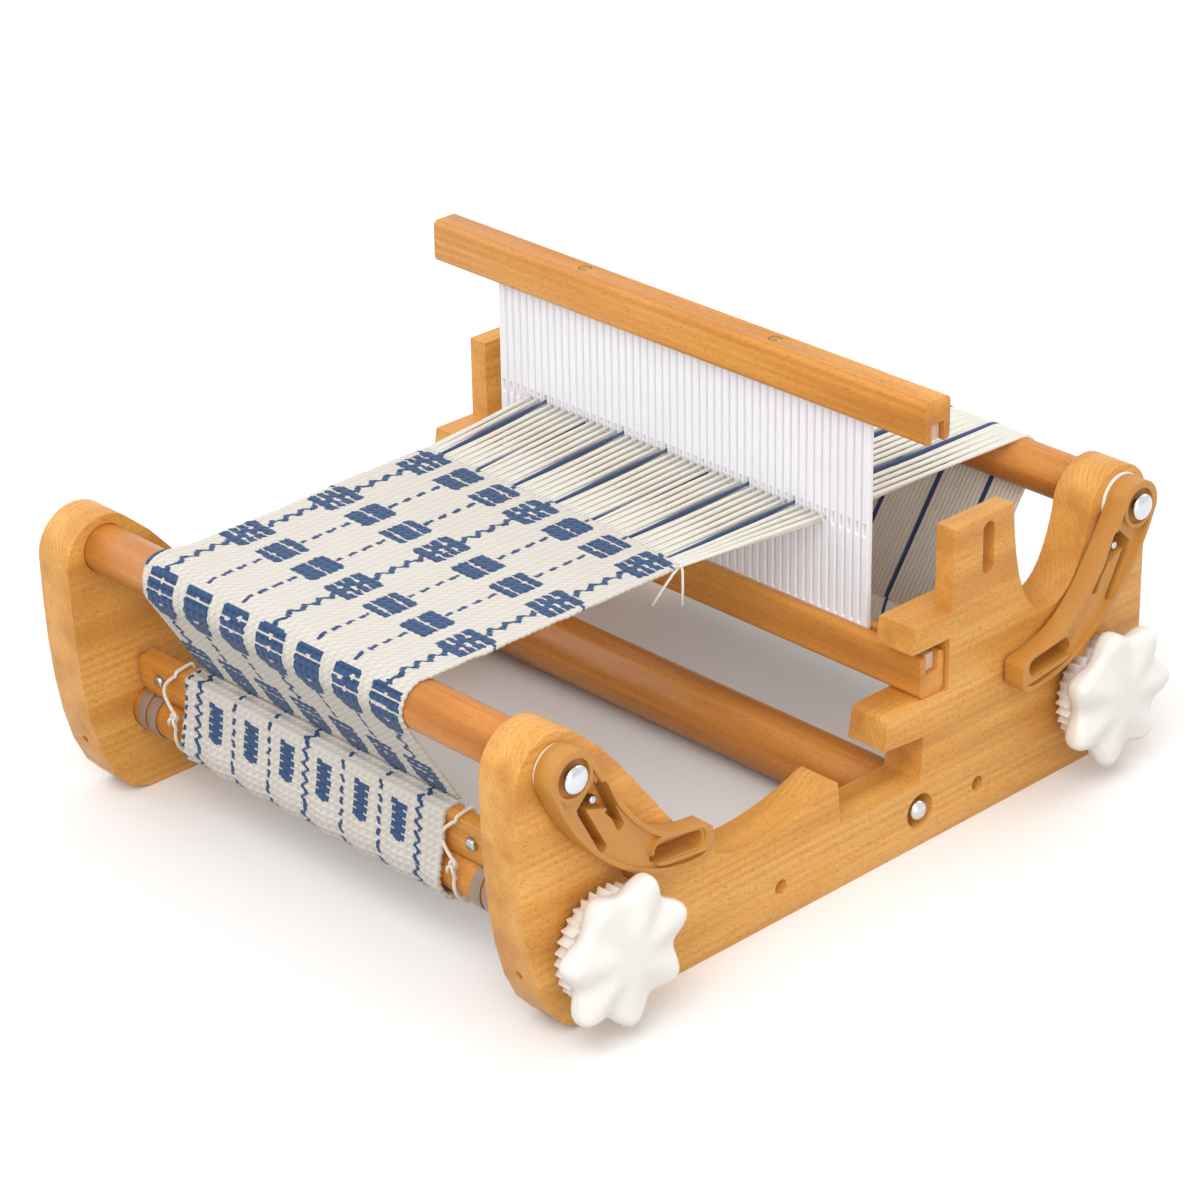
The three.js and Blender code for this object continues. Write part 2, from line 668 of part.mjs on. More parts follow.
// The tooth fills the valley when seated and is drawn here lifted onto the tooth tips
function pawlTooth() {
  const point = valleyPoint(PAWL_TOOTH_CLEARANCE, 0);
  const steepTip = valleyPoint(TOOTH_DEPTH, -TOOTH_ANGLE * TOOTH_STEEP_SHARE);
  const gentleTip = valleyPoint(TOOTH_DEPTH, TOOTH_ANGLE * (1 - TOOTH_STEEP_SHARE));
  const valley = valleyPoint(0, 0);
  const steep = steepTip.sub(valley).setLength(PAWL_TOOTH_REACH);
  const gentle = gentleTip.sub(valley).setLength(PAWL_TOOTH_REACH);
  const corners = [point, point.clone().add(steep), point.clone().add(gentle)];
  const lift = rad(PAWL_SEAT_ANGLE);
  const origin = new THREE.Vector2();
  return new THREE.Shape(corners.map((corner) => corner.rotateAround(origin, lift)));
}

// A spring tongue stands between two slots and ends under the triangular window
function tongueCuts() {
  const windowLeft = new THREE.Vector2(3.4, -18);
  const windowTop = new THREE.Vector2(14.2, -7.3);
  const windowRight = new THREE.Vector2(21.8, -24);
  const window = new THREE.Shape([windowLeft, windowRight, windowTop]);
  const slots = [
    [windowLeft, new THREE.Vector2(16.2, -39.8), 1],
    [windowRight, new THREE.Vector2(31.6, -34.9), -1],
  ].map(([from, to, inwards]) => {
    const along = to.clone().sub(from).normalize();
    const across = new THREE.Vector2(-along.y, along.x);
    across.multiplyScalar(TONGUE_SLOT_WIDTH * inwards);
    const corners = [from, to, to.clone().add(across), from.clone().add(across)];
    return new THREE.Shape(inwards > 0 ? corners : corners.reverse());
  });
  return [window, ...slots];
}

function tipWindow() {
  const radius = TIP_WINDOW_HEIGHT / 2;
  const centreZ = -PAWL_TIP_DROP + PAWL_TIP_HEIGHT / 2;
  const rightY = PAWL_REACH - 4 - 2 * radius;
  return wrap([
    { y: rightY - TIP_WINDOW_LENGTH + 2 * radius, z: centreZ + 4, radius },
    { y: rightY, z: centreZ + 1.5, radius },
  ]);
}

function pawl() {
  const tooth = slab(pawlTooth(), PAWL_START + 1, PAWL_END);
  const whole = join(slab(pawlProfile(), PAWL_START, PAWL_END, 14), tooth);
  const windows = [...tongueCuts(), tipWindow()];
  return cut(
    whole,
    rodAlongX(PIVOT_RADIUS + GAP, 0, PAWL_END + 1, 0, 0, 16),
    ...windows.map((shape) => slab(shape, 0, PAWL_END + 1, 6)),
  );
}

function washer() {
  return cut(
    rodAlongX(WASHER_RADIUS, GAP, GAP + WASHER_THICKNESS, 0, 0, 24),
    rodAlongX(PIVOT_RADIUS + GAP, 0, 2 * WASHER_THICKNESS, 0, 0, 12),
  );
}

function peg() {
  const crown = PEG_RADIUS * 0.5;
  const profile = [
    [0, -PEG_SOCKET_DEPTH + GAP],
    [PEG_RADIUS, -PEG_SOCKET_DEPTH + GAP],
    [PEG_RADIUS, PEG_PROUD - crown],
    [PEG_RADIUS * 0.7, PEG_PROUD - crown * 0.3],
    [0, PEG_PROUD],
  ];
  return solid(turned(profile, 14).rotateZ(-Math.PI / 2));
}

for (const [name, side] of [["front", -1], ["back", 1]]) {
  const parts = [
    piece(name + "_pawl", pawl(), tanPlastic),
    piece(name + "_pawl_washer", washer(), whitePlastic),
  ];
  for (const part of parts) {
    part.scale.y = -side;
    part.position.set(OUTER_X, side * ROD_Y, ROD_Z);
  }
  const headX = OUTER_X + PAWL_END + GAP;
  const pivot = dowelScrew(headX, PIVOT_HEAD_RADIUS, PIVOT_HEAD_HEIGHT, PIVOT_RADIUS);
  piece(name + "_pawl_pivot", pivot, steel).position.set(0, side * ROD_Y, ROD_Z);
  const pegY = side * (ROD_Y - PEG_Y);
  piece(name + "_pawl_peg", peg(), steel).position.set(OUTER_X, pegY, ROD_Z - PEG_DROP);
}

// Sticks, drawn with their width up and their back face at Y = 0

function stickBody(play = 0) {
  const right = STICK_LEFT_X + STICK_LENGTH;
  const shape = new THREE.Shape([
    new THREE.Vector2(STICK_LEFT_X + STICK_CORNER, -play),
    new THREE.Vector2(right - STICK_CORNER, -play),
    new THREE.Vector2(right, STICK_CORNER),
    new THREE.Vector2(right, STICK_WIDTH - STICK_CORNER),
    new THREE.Vector2(right - STICK_CORNER, STICK_WIDTH + play),
    new THREE.Vector2(STICK_LEFT_X + STICK_CORNER, STICK_WIDTH + play),
    new THREE.Vector2(STICK_LEFT_X, STICK_WIDTH - STICK_CORNER),
    new THREE.Vector2(STICK_LEFT_X, STICK_CORNER),
  ]);
  const depth = STICK_THICKNESS + 2 * play;
  const geometry = new THREE.ExtrudeGeometry(shape, { depth, bevelEnabled: false });
  return geometry.translate(0, 0, -play).rotateX(Math.PI / 2);
}

// The cloth stick stands on the roller's bands; the warp stick lies flat against its roller
const clothStickPlace = new THREE.Matrix4()
  .makeTranslation(0, -ROLLER_Y, ROLLER_Z)
  .multiply(new THREE.Matrix4().makeRotationX(rad(CLOTH_STICK_LEAN)))
  .multiply(
    new THREE.Matrix4().makeTranslation(
      0,
      STICK_THICKNESS / 2,
      ROLLER_RADIUS + BAND_THICKNESS + 2 * GAP,
    ),
  );
const warpStickPlace = new THREE.Matrix4()
  .makeTranslation(0, ROLLER_Y, ROLLER_Z)
  .multiply(new THREE.Matrix4().makeRotationX(rad(WARP_STICK_ANGLE)))
  .multiply(
    new THREE.Matrix4().makeTranslation(
      0,
      ROLLER_RADIUS + GAP + STICK_THICKNESS,
      -STICK_WIDTH / 2,
    ),
  );

const STICK_SCREW_X = [
  STICK_LEFT_X + STICK_SCREW_INSET,
  STICK_LEFT_X + STICK_LENGTH - STICK_SCREW_INSET,
];

function stickWithHoles() {
  const holes = STICK_SCREW_X.map((x) =>
    solid(
      new THREE.CylinderGeometry(
        STICK_SCREW_RADIUS + GAP,
        STICK_SCREW_RADIUS + GAP,
        STICK_THICKNESS,
        10,
      ).translate(x, -STICK_THICKNESS + 1, STICK_WIDTH / 2),
    ),
  );
  return cut(solid(stickBody()), ...holes);
}

function stickScrew() {
  const profile = [
    [0, -STICK_THICKNESS + 4],
    [STICK_SCREW_RADIUS, -STICK_THICKNESS + 4],
    [STICK_SCREW_RADIUS, GAP],
    [STICK_SCREW_HEAD_RADIUS, GAP],
    [STICK_SCREW_HEAD_RADIUS * 0.8, GAP + STICK_SCREW_HEAD_HEIGHT],
    [0, GAP + STICK_SCREW_HEAD_HEIGHT],
  ];
  return turned(profile, 14).rotateX(Math.PI).translate(0, -STICK_THICKNESS, STICK_WIDTH / 2);
}

function placed(name, body, place, finish) {
  piece(name, body, finish).applyMatrix4(place);
}

placed("cloth_stick", stickWithHoles(), clothStickPlace, beech);
placed("warp_stick", stickWithHoles(), warpStickPlace, beech);
STICK_SCREW_X.forEach((x, i) => {
  const name = "cloth_stick_screw_" + ["left", "right"][i];
  placed(name, solid(stickScrew().translate(x, 0, 0)), clothStickPlace, steel);
});

// Bands on the cloth roller

[BAND_LEFT_X, BAND_LEFT_X + BAND_SPACING, BAND_RIGHT_X, BAND_RIGHT_X + BAND_SPACING].forEach(
  (x, i) => {
    const inner = ROLLER_RADIUS + GAP;
    const ring = cut(
      rodAlongX(inner + BAND_THICKNESS, x, x + BAND_WIDTH, -ROLLER_Y, ROLLER_Z, 28),
      rodAlongX(inner, x - 1, x + BAND_WIDTH + 1, -ROLLER_Y, ROLLER_Z, 28),
    );
    piece("roller_band_" + (i + 1), ring, greyBand);
  },
);

// Cloth wound round the roller and its stick

function stickCorner(place, y, z) {
  const point = new THREE.Vector3(0, y, z).applyMatrix4(place);
  return { y: point.y, z: point.z };
}

function clothRollCircles(onRoller, onStick) {
  return [
    { y: -ROLLER_Y, z: ROLLER_Z, radius: ROLLER_RADIUS + onRoller },
    { ...stickCorner(clothStickPlace, 0, STICK_WIDTH), radius: onStick },
    { ...stickCorner(clothStickPlace, -STICK_THICKNESS, STICK_WIDTH), radius: onStick },
  ];
}

function clothRoll() {
  const circles = clothRollCircles(CLOTH_LAYERS_ON_ROLLER, CLOTH_LAYERS_ON_STICK);
  const from = CLOTH_ROLL_LEFT_X;
  const to = CLOTH_ROLL_RIGHT_X;
  return cut(
    slab(wrap(circles), from, to, 8),
    rodAlongX(ROLLER_RADIUS + GAP, from - 1, to + 1, -ROLLER_Y, ROLLER_Z),
    solid(stickBody(GAP).applyMatrix4(clothStickPlace)),
  );
}

piece("cloth_roll", clothRoll(), cotton);

// Warp wound round its roller over the warp stick

function warpRoll() {
  const from = BACK_ROD_LEFT_X;
  const to = BACK_ROD_RIGHT_X;
  return cut(
    rodAlongX(WARP_ROLL_RADIUS, from, to, ROLLER_Y, ROLLER_Z, 40),
    rodAlongX(ROLLER_RADIUS + GAP, from - 1, to + 1, ROLLER_Y, ROLLER_Z),
    solid(stickBody(GAP).applyMatrix4(warpStickPlace)),
  );
}

piece("warp_roll", warpRoll(), cotton);

// A path that leaves the top of a rod, bends down round it and runs straight to a roll.
// side is -1 at the front and 1 at the back; the straight run crosses to the roll's inner side.
function overRod(side, roll, short) {
  const bend = ROD_RADIUS + GAP + CLOTH_THICKNESS / 2;
  const dy = roll.y * side - ROD_Y;
  const dz = roll.z - ROD_Z;
  const heading = Math.atan2(dz, dy) - Math.asin((bend + roll.radius) / Math.hypot(dy, dz));
  const steps = [];
  const last = heading + Math.PI / 2;
  const count = 8;
  for (let i = 0; i <= count; i += 1) {
    const normal = Math.PI / 2 + ((last - Math.PI / 2) * i) / count;
    steps.push({
      y: side * (ROD_Y + bend * Math.cos(normal)),
      z: ROD_Z + bend * Math.sin(normal),
      normal,
    });
  }
  const run = Math.sqrt(dy * dy + dz * dz - (bend + roll.radius) ** 2) - short;
  const end = steps[count];
  steps.push({
    y: end.y + side * run * Math.cos(heading),
    z: end.z + run * Math.sin(heading),
    normal: last,
  });
  return steps.map((step) => ({
    ...step,
    normal: side > 0 ? step.normal : Math.PI - step.normal,
  }));
}

// Cloth from the fell over the front rod to its roll
function clothWeb() {
  const corner = clothRollCircles(0, CLOTH_LAYERS_ON_STICK + GAP + CLOTH_THICKNESS / 2)[1];
  const path = overRod(-1, corner, CLOTH_THICKNESS);
  const steps = path.map((step, i) => {
    const down = i === path.length - 1;
    return {
      ...step,
      left: down ? CLOTH_ROLL_LEFT_X : CLOTH_ROD_LEFT_X,
      right: down ? CLOTH_ROLL_RIGHT_X : CLOTH_ROD_RIGHT_X,
    };
  });
  const fell = {
    y: FELL_Y,
    z: WARP_Z,
    normal: Math.PI / 2,
    left: FELL_LEFT_X,
    right: FELL_RIGHT_X,
  };
  return ribbon([fell, ...steps].reverse(), CLOTH_THICKNESS);
}

piece("cloth_web", clothWeb(), cotton);

// Warp threads; each is a straight bar with its own place at both ends

const COMB_FRONT_Y = REED_Y - COMB_THICKNESS / 2;

function dentX(dent) {
  return REED_X + ((dent - (DENT_COUNT - 1)) * DENT_PITCH) / 2;
}

function spreadX(left, right, thread) {
  return left + ((right - left) * (thread + 0.5)) / THREAD_COUNT;
}

function thread(fromX, fromY, toX, toY) {
  const half = THREAD_SIZE / 2;
  const steps = [
    { x: fromX, y: fromY },
    { x: toX, y: toY },
  ].map(({ x, y }) => ({ y, z: WARP_Z, normal: Math.PI / 2, left: x - half, right: x + half }));
  return ribbon(steps, THREAD_SIZE);
}

function frontThreads() {
  const fromY = FELL_Y + GAP;
  const toY = COMB_FRONT_Y - 1 - GAP;
  const half = THREAD_SIZE / 2;
  const pick = block(
    FELL_LEFT_X,
    FELL_RIGHT_X,
    fromY,
    fromY + 2 * THREAD_SIZE,
    WARP_Z - half - 0.1,
    WARP_Z + half + 0.1,
  );
  const threads = [];
  for (let i = 0; i < THREAD_COUNT; i += 1) {
    const fellX = spreadX(FELL_LEFT_X, FELL_RIGHT_X, i);
    threads.push(thread(fellX, fromY + THREAD_SIZE, dentX(FIRST_DENT + i), toY));
  }
  return join(pick, ...threads);
}

piece("warp_front", frontThreads(), cotton);

function backThreads() {
  const roll = {
    y: ROLLER_Y,
    z: ROLLER_Z,
    radius: WARP_ROLL_RADIUS + GAP + CLOTH_THICKNESS / 2,
  };
  const edges = { left: BACK_ROD_LEFT_X, right: BACK_ROD_RIGHT_X };
  const gatherY = ROD_Y - ROD_RADIUS;
  const start = { y: gatherY, z: WARP_Z, normal: Math.PI / 2, ...edges };
  const steps = overRod(1, roll, 0).map((step) => ({ ...step, ...edges }));
  const sheet = ribbon([start, ...steps], CLOTH_THICKNESS);
  const threads = [];
  for (let i = 0; i < THREAD_COUNT; i += 1) {
    const rodX = spreadX(edges.left, edges.right, i);
    threads.push(thread(dentX(FIRST_DENT + i), COMB_FRONT_Y - 1, rodX, gatherY + 1));
  }
  return join(sheet, ...threads);
}

piece("warp_back", backThreads(), cotton);

// Reed

function comb() {
  const bottomZ = REED_FOOT_Z + RAIL_HEIGHT - COMB_IN_GROOVE;
  const topZ = REED_TOP_Z - RAIL_HEIGHT + COMB_IN_GROOVE;
  const slotBottomZ = bottomZ + COMB_IN_GROOVE + COMB_MARGIN;
  const slotTopZ = topZ - COMB_IN_GROOVE - COMB_MARGIN;
  const half = (DENT_COUNT * DENT_PITCH) / 2;
  const frontY = REED_Y - COMB_THICKNESS / 2;
  const backY = REED_Y + COMB_THICKNESS / 2;
  const plate = block(REED_X - half, REED_X + half, frontY, backY, bottomZ, topZ);
  const eyeBottomZ = WARP_Z - EYE_HEIGHT / 2;
  const eyeTopZ = WARP_Z + EYE_HEIGHT / 2;
  const holes = [];
  for (let dent = 0; dent < 2 * DENT_COUNT - 1; dent += 1) {
    const x = dentX(dent);
    const isSlot = dent % 2;
    const reach = (isSlot ? SLOT_WIDTH : EYE_WIDTH) / 2;
    const fromZ = isSlot ? slotBottomZ : eyeBottomZ;
    const toZ = isSlot ? slotTopZ : eyeTopZ;
    holes.push(block(x - reach, x + reach, frontY - 1, backY + 1, fromZ, toZ));
  }
  return cut(plate, ...holes);
}

piece("reed_comb", comb(), clearPlastic);

// A rail's section about its middle, with its groove in the upper face
function railProfile() {
  const halfDepth = RAIL_DEPTH / 2;
  const halfHeight = RAIL_HEIGHT / 2;
  const groove = COMB_THICKNESS / 2 + GAP;
  const grooveZ = halfHeight - COMB_IN_GROOVE - GAP;
  const round = RAIL_ROUND;
  const shape = new THREE.Shape();
  shape.absarc(-halfDepth + round, -halfHeight + round, round, Math.PI, 1.5 * Math.PI, false);
  shape.absarc(halfDepth - round, -halfHeight + round, round, 1.5 * Math.PI, 2 * Math.PI, false);
  shape.absarc(halfDepth - round, halfHeight - round, round, 0, 0.5 * Math.PI, false);
  shape.lineTo(groove, halfHeight);
  shape.lineTo(groove, grooveZ);
  shape.lineTo(-groove, grooveZ);
  shape.lineTo(-groove, halfHeight);
  shape.absarc(-halfDepth + round, halfHeight - round, round, 0.5 * Math.PI, Math.PI, false);
  return shape;
}

// A screw stands with its head at Z = 0 and its shank going down
function railScrew() {
  const length = RAIL_HEIGHT - COMB_IN_GROOVE - RAIL_SCREW_HEAD_HEIGHT - 2 * GAP;
  const profile = [
    [0, -RAIL_SCREW_HEAD_HEIGHT - length],
    [RAIL_SCREW_RADIUS, -RAIL_SCREW_HEAD_HEIGHT - length],
    [RAIL_SCREW_RADIUS, -RAIL_SCREW_HEAD_HEIGHT],
    [RAIL_SCREW_HEAD_RADIUS, -RAIL_SCREW_HEAD_HEIGHT],
    [RAIL_SCREW_HEAD_RADIUS, -0.4],
    [RAIL_SCREW_HEAD_RADIUS * 0.7, 0],
    [0, 0],
  ];
  return turned(profile, 14).rotateX(Math.PI / 2);
}

function rail() {
  const half = RAIL_LENGTH / 2;
  const sunk = RAIL_SCREW_HEAD_HEIGHT + GAP;
  const holes = [-1, 1].flatMap((side) => {
    const x = side * RAIL_SCREW_SPREAD;
    const head = new THREE.CylinderGeometry(
      RAIL_SCREW_HEAD_RADIUS + GAP,
      RAIL_SCREW_HEAD_RADIUS + GAP,
      2 * sunk,
      16,
    );
    const shank = new THREE.CylinderGeometry(
      RAIL_SCREW_RADIUS + GAP,
      RAIL_SCREW_RADIUS + GAP,
      2 * RAIL_HEIGHT,
      10,
    );
    return [head, shank].map((hole) =>
      solid(hole.rotateX(Math.PI / 2).translate(x, 0, -RAIL_HEIGHT / 2)),
    );
  });
  return cut(slab(railProfile(), -half, half, 4), ...holes);
}

for (const [name, footZ, turn] of [
  ["bottom", REED_FOOT_Z, 0],
  ["top", REED_TOP_Z - RAIL_HEIGHT, Math.PI],
]) {
  const made = piece("reed_" + name + "_rail", rail(), beech);
  made.rotation.x = turn;
  made.position.set(REED_X, REED_Y, footZ + RAIL_HEIGHT / 2);
  const headZ = turn ? footZ + RAIL_HEIGHT : footZ;
  [-1, 1].forEach((side, i) => {
    const label = "reed_screw_" + name + "_" + ["left", "right"][i];
    const screw = piece(label, solid(railScrew()), brass);
    screw.rotation.x = turn ? 0 : Math.PI;
    screw.position.set(REED_X + side * RAIL_SCREW_SPREAD, REED_Y, headZ);
  });
}

// Cords tied round the cloth roller and its stick, with both ends in a knot

function tie(x) {
  const clear = TIE_RADIUS + 2 * GAP;
  const circles = clothRollCircles(clear, clear);
  const knotY = -ROLLER_Y - ROLLER_RADIUS - clear - 1;
  const knotZ = ROLLER_Z + ROLLER_RADIUS;
  const outline = wrap(circles).getSpacedPoints(48);
  const points = outline.map((point) => {
    const front = Math.max(0, -(point.x + ROLLER_Y) / ROLLER_RADIUS);
    const rise = (point.y - knotZ) / STICK_WIDTH;
    const side = rise > 0 ? TIE_BOW * Math.sin(rise * Math.PI) : 0;
    return new THREE.Vector3(x - Math.min(front, 1) * Math.max(side, 0), point.x, point.y);
  });
  const nearest = points.reduce((best, point, i) => {
    const away = Math.hypot(point.y - knotY, point.z - knotZ);
    return away < best.away ? { i, away } : best;
  }, { i: 0, away: Infinity }).i;
  const open = points.slice(0, -1);
  const order = open.map((_, i) => open[(nearest + i + 1) % open.length]);
  const path = new THREE.CatmullRomCurve3(order.slice(0, -1));
  const section = new THREE.Shape();
  section.absarc(0, 0, TIE_RADIUS, 0, 2 * Math.PI, false);
  const cord = new THREE.ExtrudeGeometry(section, {
    steps: 32,
    curveSegments: 4,
    bevelEnabled: false,
    extrudePath: path,
  });
  const knot = new THREE.SphereGeometry(TIE_KNOT_RADIUS, 8, 6);
  const at = open[nearest];
  return join(solid(cord), solid(knot.translate(at.x, at.y - 0.6, at.z)));
}

piece("cloth_tie_left", tie(TIE_LEFT_X), cotton);
piece("cloth_tie_right", tie(TIE_RIGHT_X), cotton);

const loomRightX = OUTER_X + KNOB_REACH;
const loomLeftX = REED_X - RAIL_LENGTH / 2;
loom.position.x = -(loomLeftX + loomRightX) / 2;

export default loom;
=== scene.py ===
# A small rigid-heddle table loom with a patterned cloth begun, dressed over its CAD frame.
import bpy, bmesh
import numpy as np
from math import acos, asin, atan2, cos, hypot, pi, radians, sin, sqrt, tau
from mathutils import Matrix, Vector, noise


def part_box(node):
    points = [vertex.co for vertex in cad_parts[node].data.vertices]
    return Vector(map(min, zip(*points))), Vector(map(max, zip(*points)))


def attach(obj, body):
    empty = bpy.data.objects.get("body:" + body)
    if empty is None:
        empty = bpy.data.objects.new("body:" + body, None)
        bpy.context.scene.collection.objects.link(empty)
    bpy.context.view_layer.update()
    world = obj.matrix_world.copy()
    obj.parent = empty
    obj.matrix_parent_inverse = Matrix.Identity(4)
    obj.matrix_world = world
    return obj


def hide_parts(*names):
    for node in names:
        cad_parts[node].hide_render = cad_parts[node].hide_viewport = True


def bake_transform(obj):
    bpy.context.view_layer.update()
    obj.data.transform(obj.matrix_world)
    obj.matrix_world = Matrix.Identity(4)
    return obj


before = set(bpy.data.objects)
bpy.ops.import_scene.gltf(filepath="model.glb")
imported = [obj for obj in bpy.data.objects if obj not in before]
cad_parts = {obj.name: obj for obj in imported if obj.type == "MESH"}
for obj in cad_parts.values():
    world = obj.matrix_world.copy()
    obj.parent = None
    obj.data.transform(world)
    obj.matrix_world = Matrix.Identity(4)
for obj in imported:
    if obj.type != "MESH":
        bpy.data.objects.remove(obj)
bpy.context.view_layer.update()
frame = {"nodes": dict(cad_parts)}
nodes = frame["nodes"]

# Sizes in loom millimetres: x across from the middle of the frames, y back, z up.
SHIFT_X = -12.0
INNER_X, OUTER_X = 143.6, 166.6
ROD_Y, ROD_Z, ROD_R = 189.5, 136.5, 12.0
ROLLER_Y, ROLLER_Z, ROLLER_R = 168.5, 44.0, 11.0
STRETCHER_Y, STRETCHER_Z = 49.0, 19.0
SEAT_Z = 36.0
WARP_Z = 149.4
REED_X, REED_Y, RAIL_HALF, DENT = -2.8, 57.45, 167.3, 2.54
SIDES = (("left", -1), ("right", 1))

# Left and right edges of the rolled cloth, and of the warp at the back
ROLL_EDGES, BACK = (-101.0, 83.0), (-101.9, 104.9)

# Corners closer than this, in metres, are one
JOIN = 2e-6

# Warp ends: how many, which are dyed, and the first one's and the middle place in the reed
THREADS, BLUE_ENDS = 82, (5, 16, 27, 39, 50, 61, 73)
FIRST_DENT, MIDDLE_DENT = 7, 49


def P(x, y, z):
    """Loom millimetres, with the side frames centred, to the row frame in metres."""
    return ((x + SHIFT_X) / 1000, y / 1000, z / 1000)


def linked(name, data):
    obj = bpy.data.objects.new(name, data)
    bpy.context.scene.collection.objects.link(obj)
    return obj


# Camera

def camera():
    """The photograph's view: turned to the right, from above, with a slight roll."""
    az, el, roll = map(radians, (46.175, 26.2, -0.872))
    data = bpy.data.cameras.new("camera")
    cam = linked("camera", data)
    data.sensor_width = 36
    data.lens = 117.975
    data.shift_x = -0.0069
    data.shift_y = -0.0158
    data.clip_start, data.clip_end = 0.05, 20
    cam.matrix_world = (Matrix.Translation(P(1242.7, -1187.4, 946.8))
                        @ Matrix.Rotation(az, 4, "Z") @ Matrix.Rotation(pi / 2 - el, 4, "X")
                        @ Matrix.Rotation(roll, 4, "Z"))
    bpy.context.scene.camera = cam


camera()


# Materials

def rgb(code):
    def lin(v):
        v /= 255
        return v / 12.92 if v <= 0.04045 else ((v + 0.055) / 1.055) ** 2.4
    return (*(lin(int(code[i:i + 2], 16)) for i in (0, 2, 4)), 1)


def per(mm):
    """The noise scale, in cycles to the metre, of a pattern this many millimetres across."""
    return 1000 / mm


class Nodes:
    """A node tree and the shader that its nodes lead to."""

    def __init__(self, owner, shader):
        owner.use_nodes = True
        self.tree = owner.node_tree
        self.shader = self.tree.nodes[shader]

    def put(self, inputs, node=None):
        """Sets or links sockets: the shader's own, or those of the node given."""
        for key, value in inputs.items():
            socket = (node or self.shader).inputs[key]
            if isinstance(value, bpy.types.NodeSocket):
                self.tree.links.new(value, socket)
            else:
                socket.default_value = rgb(value) if isinstance(value, str) else value

    def add(self, kind, inputs=None, out=0, stops=(), **settings):
        """Adds a node with its settings, ramp stops and links; gives its output socket."""
        node = self.tree.nodes.new("ShaderNode" + kind)
        for key, value in settings.items():
            setattr(node, key, value)
        for i, (at, code) in enumerate(stops):
            ramp = node.color_ramp.elements
            stop = ramp[i] if i < len(ramp) else ramp.new(at)
            stop.position = at
            stop.color = rgb(code) if isinstance(code, str) else (code, code, code, 1)
        self.put(inputs or {}, node)
        return node.outputs[out]


# A colour Mix gives socket 7 the share in socket 0, over socket 6; a Math node with TIMES_PLUS
# gives socket 0 times socket 1, plus socket 2.
COLORS = {"out": 2, "data_type": "RGBA"}
TIMES = {"operation": "MULTIPLY"}
TIMES_PLUS = {"operation": "MULTIPLY_ADD"}


def material(name, color, rough, **inputs):
    """A material, what sets its shader, what adds nodes, and where its patterns start from."""
    made = bpy.data.materials.new(name)
    made.diffuse_color = rgb(color)
    nodes = Nodes(made, "Principled BSDF")
    nodes.put({"Base Color": color, "Roughness": rough, **inputs})
    return made, nodes.put, nodes.add, nodes.add("TexCoord", out="Object")


def wood(name, grain, light, mid, dark, pore, rough=0.42):
    """Beech, planed or turned and then oiled. The eye gets uneven growth rings 2.6 mm apart and
    running along the grain, short dark flecks where the rays are cut (0.1 mm wide in life and
    drawn 0.43 mm so that they show), and a soft gloss that follows the fine grain."""
    made, put, add, place = material(name, mid, rough)
    g = "XYZ".index(grain)

    def stretched(across, along, ray=None):
        scale = [across] * 3
        scale[g] = along
        if ray:
            scale[2 if g == 1 else 1] = ray
        return scale
    turn = [0.0] * 3
    turn[g] = 0.6
    tilted = add("Mapping", {"Vector": place, "Rotation": turn})
    noises = []
    for vector, scale, detail, worn in ((place, (per(18), per(200)), 3, 0.5),
                                        (place, (per(11), per(110)), 2, 0.5),
                                        (place, (per(1.7), per(18)), 3, 0.6),
                                        (tilted, (per(0.43), per(2.5), per(1.4)), 1, 0.5)):
        spread = add("Mapping", {"Vector": vector, "Scale": stretched(*scale)})
        noises.append(add("TexNoise", {"Vector": spread, "Scale": 1, "Detail": detail,
                                       "Roughness": worn}))
    figure, years, fine, rays = noises
    base = add("ValToRGB", {"Fac": figure}, stops=((0.34, dark), (0.5, mid), (0.66, light)))
    long = add("Mapping", {"Vector": tilted, "Scale": stretched(1, 0.06)})
    rings = add("TexWave", {"Vector": long, "Scale": per(2.6) * pi / 10, "Distortion": 4.0,
                            "Detail": 2.0, "Detail Scale": 0.5}, "Fac",
                wave_type="BANDS", bands_direction="X" if g else "Y")
    years = add("ValToRGB", {"Fac": years}, stops=((0.38, 0.1), (0.62, 0.55)))
    flecks = add("ValToRGB", {"Fac": rays}, stops=((0.55, 0.0), (0.7, 1.0)))
    for where, share, color in ((rings, years, dark), (fine, 0.2, light), (flecks, 0.36, pore)):
        share = add("Math", {0: where, 1: share}, **TIMES)
        base = add("Mix", {0: share, 6: base, 7: color}, **COLORS)
    gloss = add("Math", {0: fine, 1: 0.16, 2: rough - 0.08}, **TIMES_PLUS)
    height = add("Math", {0: flecks, 1: -0.6, 2: fine}, **TIMES_PLUS)
    put({"Base Color": base, "Roughness": gloss, "Coat Weight": 0.08, "Coat Roughness": 0.3,
         "Specular IOR Level": 0.35,
         "Normal": add("Bump", {"Height": height, "Strength": 0.12, "Distance": 0.0004})})
    return made


